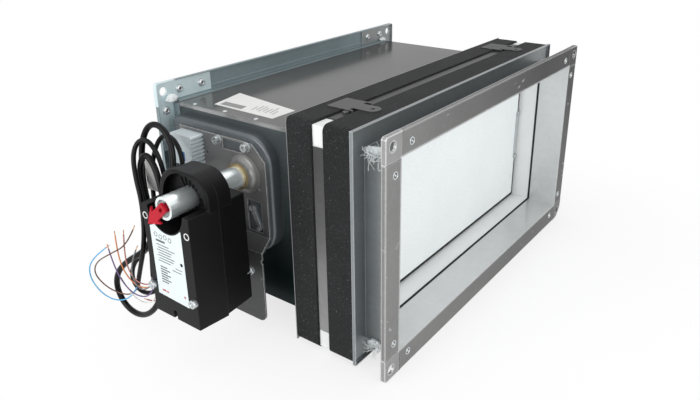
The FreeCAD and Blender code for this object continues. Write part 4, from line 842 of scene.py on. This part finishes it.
def sticker(name, corners, normal, material):
    return slabs(name, [corners], normal, STICKER_THICK, material)


def print_bars(name, page, bars, material):
    """Rectangles printed on a sticker, each (left, top, width, height) from the page's corner."""
    start = Vector(page["corner"]) + Vector(page["normal"]) * PRINT_LIFT
    across, down = Vector(page["across"]), Vector(page["down"])
    outlines = []
    for left, top, wide, high in bars:
        spots = ((left, top), (left + wide, top), (left + wide, top + high), (left, top + high))
        outlines.append([start + across * over + down * under for over, under in spots])
    return slabs(name, outlines, page["normal"], PRINT_THICK, material)


def text_bars(left, indent, top, pitch, width, ends, high, count=7):
    """Bars that stand for lines of text: every other one set in, and their ends ragged."""
    return [(left + indent * (row % 2), top + pitch * row, width + ends[row % len(ends)], high)
            for row in range(count)]


def add_top_label():
    """The casing's sticker, with a grey field and a few lines."""
    sticker("top_label", [(x, y, TOP) for x, y in TOP_LABEL], UP, "white_label")
    lines = text_bars(left=9, indent=3, top=58, pitch=6, width=15, ends=(0, 4, 8), high=1.1)
    print_bars("top_label_print", TOP_PAGE, lines, "grey_print")
    print_bars("top_label_field", TOP_PAGE, [TOP_FIELD], "grey_field")


def add_actuator_label():
    """The actuator's sticker under its notch. Its marks are generic shapes."""
    turns = [math.radians(angle) for angle in NOTCH_ANGLES]
    rim = [(SHAFT[0] + NOTCH * math.sin(turn), SHAFT[1] - NOTCH * math.cos(turn)) for turn in turns]
    feet = list(zip(LABEL_SIDES, LABEL_FEET))
    shoulders = list(zip(LABEL_SIDES, LABEL_SHOULDERS))
    outline = [feet[1], feet[0], shoulders[0]] + rim + [shoulders[1]]
    sticker("actuator_label", [(FACE, y, z) for y, z in outline], OUTWARD, "plate_label")
    lines = text_bars(left=6, indent=2, top=16, pitch=3.6, width=22, ends=(0, 8, 4), high=1.1)
    lines += text_bars(left=8, indent=0, top=45, pitch=3.4, width=12, ends=(0, 5), high=1.6)
    print_bars("actuator_label_print", LABEL_PAGE, lines + LABEL_BARS, "grey_print")
    print_bars("actuator_label_red", LABEL_PAGE, LABEL_RED_BARS, "red_print")
    printed = FACE - STICKER_THICK
    for number, spot in enumerate(MARKS):
        turned(f"actuator_mark_{number}", MARK_RING, [((printed, *spot), OUTWARD)], "grey_print")
    for number, spot in enumerate(EYES):
        turned(f"actuator_eye_{number}", EYE_RING, [((FACE, *spot), OUTWARD)], "white_label")
    turned("actuator_lens", LENS, [((printed, *LENS_PLACE), OUTWARD)], "black_plastic")


def add_trip_sticker():
    sticker("trip_sticker", [(TRIP_FACE, y, z) for y, z in TRIP_STICKER], OUTWARD, "blue_label")


# Ribs on the floor of the actuator's recess, beside the sleeve.

RIB_MIDDLE = (-358.0, 222.0, 55.5)
RIB_COUNT = 15
RIB_FIRST_ANGLE = -25
RIB_PITCH = 15
RIB_START = 19
RIB_ENDS = (30.0, 34.0)
RIB_HALF = 0.7
RIB_HEIGHT = 1.3


def add_recess_ribs():
    for number in range(RIB_COUNT):
        turn = math.radians(RIB_FIRST_ANGLE + RIB_PITCH * number)
        ahead = Vector((0, -math.sin(turn), math.cos(turn)))
        aside = Vector((0, math.cos(turn), math.sin(turn)))
        end = RIB_ENDS[number % 2]
        spots = ((RIB_START, -RIB_HALF), (end, -RIB_HALF), (end, RIB_HALF), (RIB_START, RIB_HALF))
        outline = [Vector(RIB_MIDDLE) + ahead * along + aside * side for along, side in spots]
        slabs(f"recess_rib_{number}", [outline], OUTWARD, RIB_HEIGHT, "black_plastic",
              rounding=0.3)


# Rivets and clinched joints. Their spots are across X and Z, and stand for all four corners.

RIVET_SPOTS = ((240, 140.5), (201, 140.5), (265.5, 115), (265.5, 76))
# The metal that each rivet joins, from the flange's outer face to the seat of its dome. The heights in
# the rivet's profiles are from that seat.
RIVET_STACK = 3.2
RIVET_FLUSH = -RIVET_STACK - 0.05
RIVET_DOME = ((0, -0.1), (6.2, -0.1), (6.2, 0.3), (5.9, 0.9), (4.9, 2.2), (3.6, 3.0), (2.2, 3.1),
              (1.9, 2.7), (1.8, 1.2), (0, 1.2))
# A dark disc at the bottom of each rivet's open middle: painted shade in the hole.
RIVET_HOLE_SHADE = ((0, 1.26), (1.75, 1.26), (1.75, 1.2), (0, 1.2))
RIVET_END = ((0, RIVET_FLUSH), (5.0, RIVET_FLUSH), (5.15, RIVET_FLUSH), (5.2, RIVET_FLUSH + 0.04),
             (2.4, -0.2), (0, -0.2))
CLINCH_SPOTS = ((230, 138), (262, 108))
CLINCH = {
    "ring": (((4.8, 0), (4.5, 0.55), (4.0, 0.8), (3.4, 0.5), (3.1, 0)), "zinc"),
    # The floor of each clinched ring and dent takes the lugs' darker zinc: painted shade in the dimple.
    "floor": (((3.2, 0.06), (0, 0.06)), "galvanised_lug"),
    "middle": (((1.6, 0), (1.4, 0.5), (0.8, 0.75), (0, 0.8)), "zinc"),
}
DENT_SPOTS = ((-246.5, 334), (-246.5, 276), (-246.5, 220), (-246.5, 163))
DENT_SIZE = 0.625


def on_flange(spots, place, way):
    """Each spot in the four corners of a flange, at a place along Y, with its axis that way."""
    return [((side * x, place, up * z), (0, way, 0)) for x, z in spots for side in (-1, 1)
            for up in (-1, 1)]


def add_rivets():
    """Domed rivets behind each flange, with an open middle and a flush end."""
    front = on_flange(RIVET_SPOTS, RIVET_STACK, 1)
    rear = on_flange(RIVET_SPOTS, LENGTH - RIVET_STACK, -1)
    domes = turned("rivet_domes", RIVET_DOME, front + rear, "zinc")
    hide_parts("corner_rivets")
    # Painted shade in each rivet's open middle.
    turned("rivet_hole_shades", RIVET_HOLE_SHADE, front + rear, "dark_seam")
    turned("rivet_ends_front", RIVET_END, front, "galvanised_flush")
    turned("rivet_ends_rear", RIVET_END, rear, "galvanised_flange_rear")


def add_clinches():
    """Clinched rings on the outer faces of both flanges, and along the top sheet's side."""
    spots = on_flange(CLINCH_SPOTS, 0, -1) + on_flange(CLINCH_SPOTS, LENGTH, 1)
    dents = [((*spot, TOP), UP) for spot in DENT_SPOTS]
    for name, (profile, material) in CLINCH.items():
        turned("clinch_" + name, profile, spots, material)
        small = [(radius * DENT_SIZE, height) for radius, height in profile]
        turned("dent_" + name, small, dents, material)


# Seams, gaps and beads.

DUCT_SEAM = (47.2, 50.6)
DUCT_SEAM_WIDTH = 0.5
# Painted shade in the gaps beside the front corner pieces: its places, half widths, depths, and start off
# the duct.
GAP_PLACE = (248.6, 123.6)
GAP_HALF = (0.45, 0.35)
GAP_DEPTH = (-0.12, 0.3)
GAP_START = 1.5
BEAD_DEPTH = (372.5, 374.0)
BEAD_PLACE = (257.5, 132.5)
BEAD_REACH = (183, 58)
BEAD_HALF = 1.2
BEAD_ROUNDING = 0.7


def add_seams():
    """The dark joint behind the front section, and painted shade in the gaps beside the front corner
    pieces.
    """
    low, high = DUCT_SEAM
    wide, tall = DUCT
    rings = []
    for side in (-1, 1):
        near, far = sorted((side * wide, side * (wide - DUCT_SEAM_WIDTH)))
        rings.append(((near, low, -tall), (far, high, tall)))
        near, far = sorted((side * tall, side * (tall - DUCT_SEAM_WIDTH)))
        rings.append(((-wide, low, near), (wide, high, far)))
    blocks("duct_seam", rings, "dark_seam")
    gaps = []
    low, high = GAP_DEPTH
    for side in (-1, 1):
        for up in (-1, 1):
            x, z = side * GAP_PLACE[0], up * GAP_PLACE[1]
            near, far = sorted((up * (tall + GAP_START), up * FLANGE[1]))
            gaps.append(((x - GAP_HALF[0], low, near), (x + GAP_HALF[0], high, far)))
            near, far = sorted((side * (wide + GAP_START), side * FLANGE[0]))
            gaps.append(((near, low, z - GAP_HALF[1]), (far, high, z + GAP_HALF[1])))
    blocks("corner_gap_shades", gaps, "dark_seam")


def add_rear_beads():
    """The pressed bead along each bar of the rear flange."""
    low, high = BEAD_DEPTH
    beads = []
    for side in (-1, 1):
        x, z = side * BEAD_PLACE[0], side * BEAD_PLACE[1]
        beads.append(((-BEAD_REACH[0], low, z - BEAD_HALF), (BEAD_REACH[0], high, z + BEAD_HALF)))
        beads.append(((x - BEAD_HALF, low, -BEAD_REACH[1]), (x + BEAD_HALF, high, BEAD_REACH[1])))
    blocks("rear_beads", beads, "galvanised_flange_rear", BEAD_ROUNDING)


# The actuator's rear half, with its screws and nuts.

BACK = -310.0
# Half the shell's width and its lower end at the seam, how far both draw in at its back, and the
# upper end of its box.
SHELL_HALF = 41.2
SHELL_LOW = -88.2
SHELL_DRAFT = 2.0
SHELL_HIGH = 59.0
SHELL_ROUNDING = 1.6
HEAD_BACK = -332.0
HEAD_LOW = 53.0
HEAD_TOP = 94.2
HEAD_RADIUS = 30.0
HEAD_STEPS = 12
HEAD_ROUNDING = 1.2
SPACER_RADIUS = 8.0
SCREW_SIDE = 36.5
SCREW_HEIGHT = -50.0
# The screw's head with its socket, down to its shank.
SCREW_HEAD = [(0, 3.2), (2.4, 3.2), (2.7, 3.0), (2.8, 0.3), (3.0, 0.1), (3.2, 0), (4.6, 0), (4.9, 0.1),
              (5.2, 0.6), (5.2, 5.9), (5.1, 6.0), (3.0, 6.0)]
SCREW_RISE = 6.0
SCREW_RADIUS = 3.0
SCREW_CHAMFER = 0.3
SCREW_PAST_NUT = 1.5
NUT = 5.0
NUT_RADIUS = 5.6
NUT_ROUNDING = 0.5


def add_rear_shell():
    """The leaning box behind the seam, its round head, and the spacer that stands on the leg."""
    shape = bmesh.new()
    ends = [[shape.verts.new(Vector((x, SHAFT[0] + side * (SHELL_HALF - draft), z)) * MM)
             for side, z in ((-1, SHELL_LOW + draft), (1, SHELL_LOW + draft), (1, SHELL_HIGH),
                             (-1, SHELL_HIGH))]
            for x, draft in ((SEAM, 0), (BACK, SHELL_DRAFT))]
    shape.faces.new(ends[0])
    shape.faces.new(ends[1])
    for step in range(4):
        after = (step + 1) % 4
        shape.faces.new([ends[0][step], ends[0][after], ends[1][after], ends[1][step]])
    bmesh.ops.recalc_face_normals(shape, faces=shape.faces)
    body = new_piece("rear_shell_body", shape, "black_plastic", SHELL_ROUNDING, steps=3)
    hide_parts("actuator_rear_shell")
    turns = [math.radians(90 * step / HEAD_STEPS) for step in range(HEAD_STEPS + 1)]
    half = [(SHELL_HALF, HEAD_LOW)]
    half += [(SHELL_HALF - HEAD_RADIUS * (1 - math.cos(turn)),
              HEAD_TOP - HEAD_RADIUS * (1 - math.sin(turn))) for turn in turns]
    outline = half + [(-aside, z) for aside, z in reversed(half)]
    slabs("rear_shell_head", [[(SEAM, SHAFT[0] + aside, z) for aside, z in outline]], (1, 0, 0),
          HEAD_BACK - SEAM, "black_plastic", HEAD_ROUNDING)
    profile = ((0, 0), (SPACER_RADIUS, 0), (SPACER_RADIUS, LEG_FACE - BACK))
    turned("rear_shell_spacer", profile, [((BACK, SHAFT[0] + SCREW_SIDE, SCREW_HEIGHT), (1, 0, 0))],
           "black_plastic")


def add_body_screws():
    """One long screw ends in a nut on the shell's back, the other behind the leg."""
    head_top = FACE - SCREW_RISE
    for side, seat in ((-1, BACK), (1, LEG_BACK)):
        y = SHAFT[0] + side * SCREW_SIDE
        reach = seat + NUT + SCREW_PAST_NUT - head_top
        profile = SCREW_HEAD + [(SCREW_RADIUS, reach - SCREW_CHAMFER),
                                (SCREW_RADIUS - SCREW_CHAMFER, reach), (0, reach)]
        screw = turned(f"body_screw_{side}", profile, [((head_top, y, SCREW_HEIGHT), (1, 0, 0))], "zinc")
        turns = [math.radians(60 * step) for step in range(6)]
        hexagon = [(seat, y + NUT_RADIUS * math.cos(turn), SCREW_HEIGHT + NUT_RADIUS * math.sin(turn))
                   for turn in turns]
        nut = slabs(f"body_nut_{side}", [hexagon], (1, 0, 0), NUT, "zinc", NUT_ROUNDING)
        if side == 1:
            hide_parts("actuator_screws")
            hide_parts("actuator_nuts")


# Sealant smears and their strands.

# Each smear has its centre, its reach along X, Y and Z, and how many strands hang from it.
SMEARS = {
    "front_left": ((-256, 26, 128.5), (6, 15, 4), 52),
    "front_low": ((-254, 33, -127), (4, 10, 5), 26),
    "rear_left": ((-257, 368.5, 131), (9, 4.5, 6), 0),
    "rear_right": ((246, 369, 129), (8, 4.5, 4), 0),
}
# Each swelling has its share of the size, its fineness, and how far the smear's centre shifts it.
SWELLINGS = ((0.3, 1.8, 0.16), (0.06, 6.0, 1.0))
STRAND_DIAMETER = 0.56
STRAND_STEPS = 5
# How far to the left each strand starts, and how much lower than wide its curl is.
STRAND_OUT = 2
STRAND_FLAT = 0.8
# The least and most that each strand starts off its smear's middle, curls, turns at a step and falls.
STRAND_START = (-0.8, 0.8)
STRAND_CURL = (2.5, 7.5)
STRAND_TURN = (3, 6)
LONG_FALL = (0, 22)
SHORT_FALL = (0, 6)


def add_sealant():
    for name, (centre, reach, strands) in SMEARS.items():
        shape = bmesh.new()
        bmesh.ops.create_icosphere(shape, subdivisions=4, radius=1.0)
        for vertex in shape.verts:
            place = vertex.co.copy()
            swell = 1 + sum(share * noise.noise(place * fineness + Vector(centre) * shift)
                            for share, fineness, shift in SWELLINGS)
            spread = Vector(part * size for part, size in zip(place, reach))
            vertex.co = (Vector(centre) + spread * swell) * MM
        for face in shape.faces:
            face.smooth = True
        new_piece("sealant_" + name, shape, "sealant")
        if strands:
            add_strands(name, centre, reach, strands)


def add_strands(name, centre, reach, count):
    """Fine threads of sealant that curl round their smear and fall from it. Every third falls far."""
    chance = random.Random(name)
    curve = round_curve(name + "_strands", STRAND_DIAMETER, steps=2)
    for strand in range(count):
        place = Vector(centre) + Vector(size * chance.uniform(*STRAND_START) for size in reach)
        turn = chance.uniform(0, 2 * math.pi)
        curl = chance.uniform(*STRAND_CURL)
        fall = chance.uniform(*(SHORT_FALL if strand % 3 else LONG_FALL))
        route = []
        for step in range(STRAND_STEPS + 1):
            share = step / STRAND_STEPS
            angle = turn + share * chance.uniform(*STRAND_TURN)
            drop = fall * share * share
            route.append(place + Vector((-STRAND_OUT - curl * share, curl * math.cos(angle),
                                         curl * math.sin(angle) * STRAND_FLAT - drop)))
        add_line(curve, route, order=4)
    new_object(name + "_strands", curve, "sealant")


add_camera()
add_world()
add_stage()
add_lights()
finish_nodes()
add_cables()
add_reliefs()
add_top_label()
add_actuator_label()
add_recess_ribs()
add_trip_sticker()
add_rear_shell()
add_body_screws()
add_rivets()
add_clinches()
add_seams()
add_rear_beads()
add_sealant()

bpy.context.scene.view_settings.view_transform = "Standard"
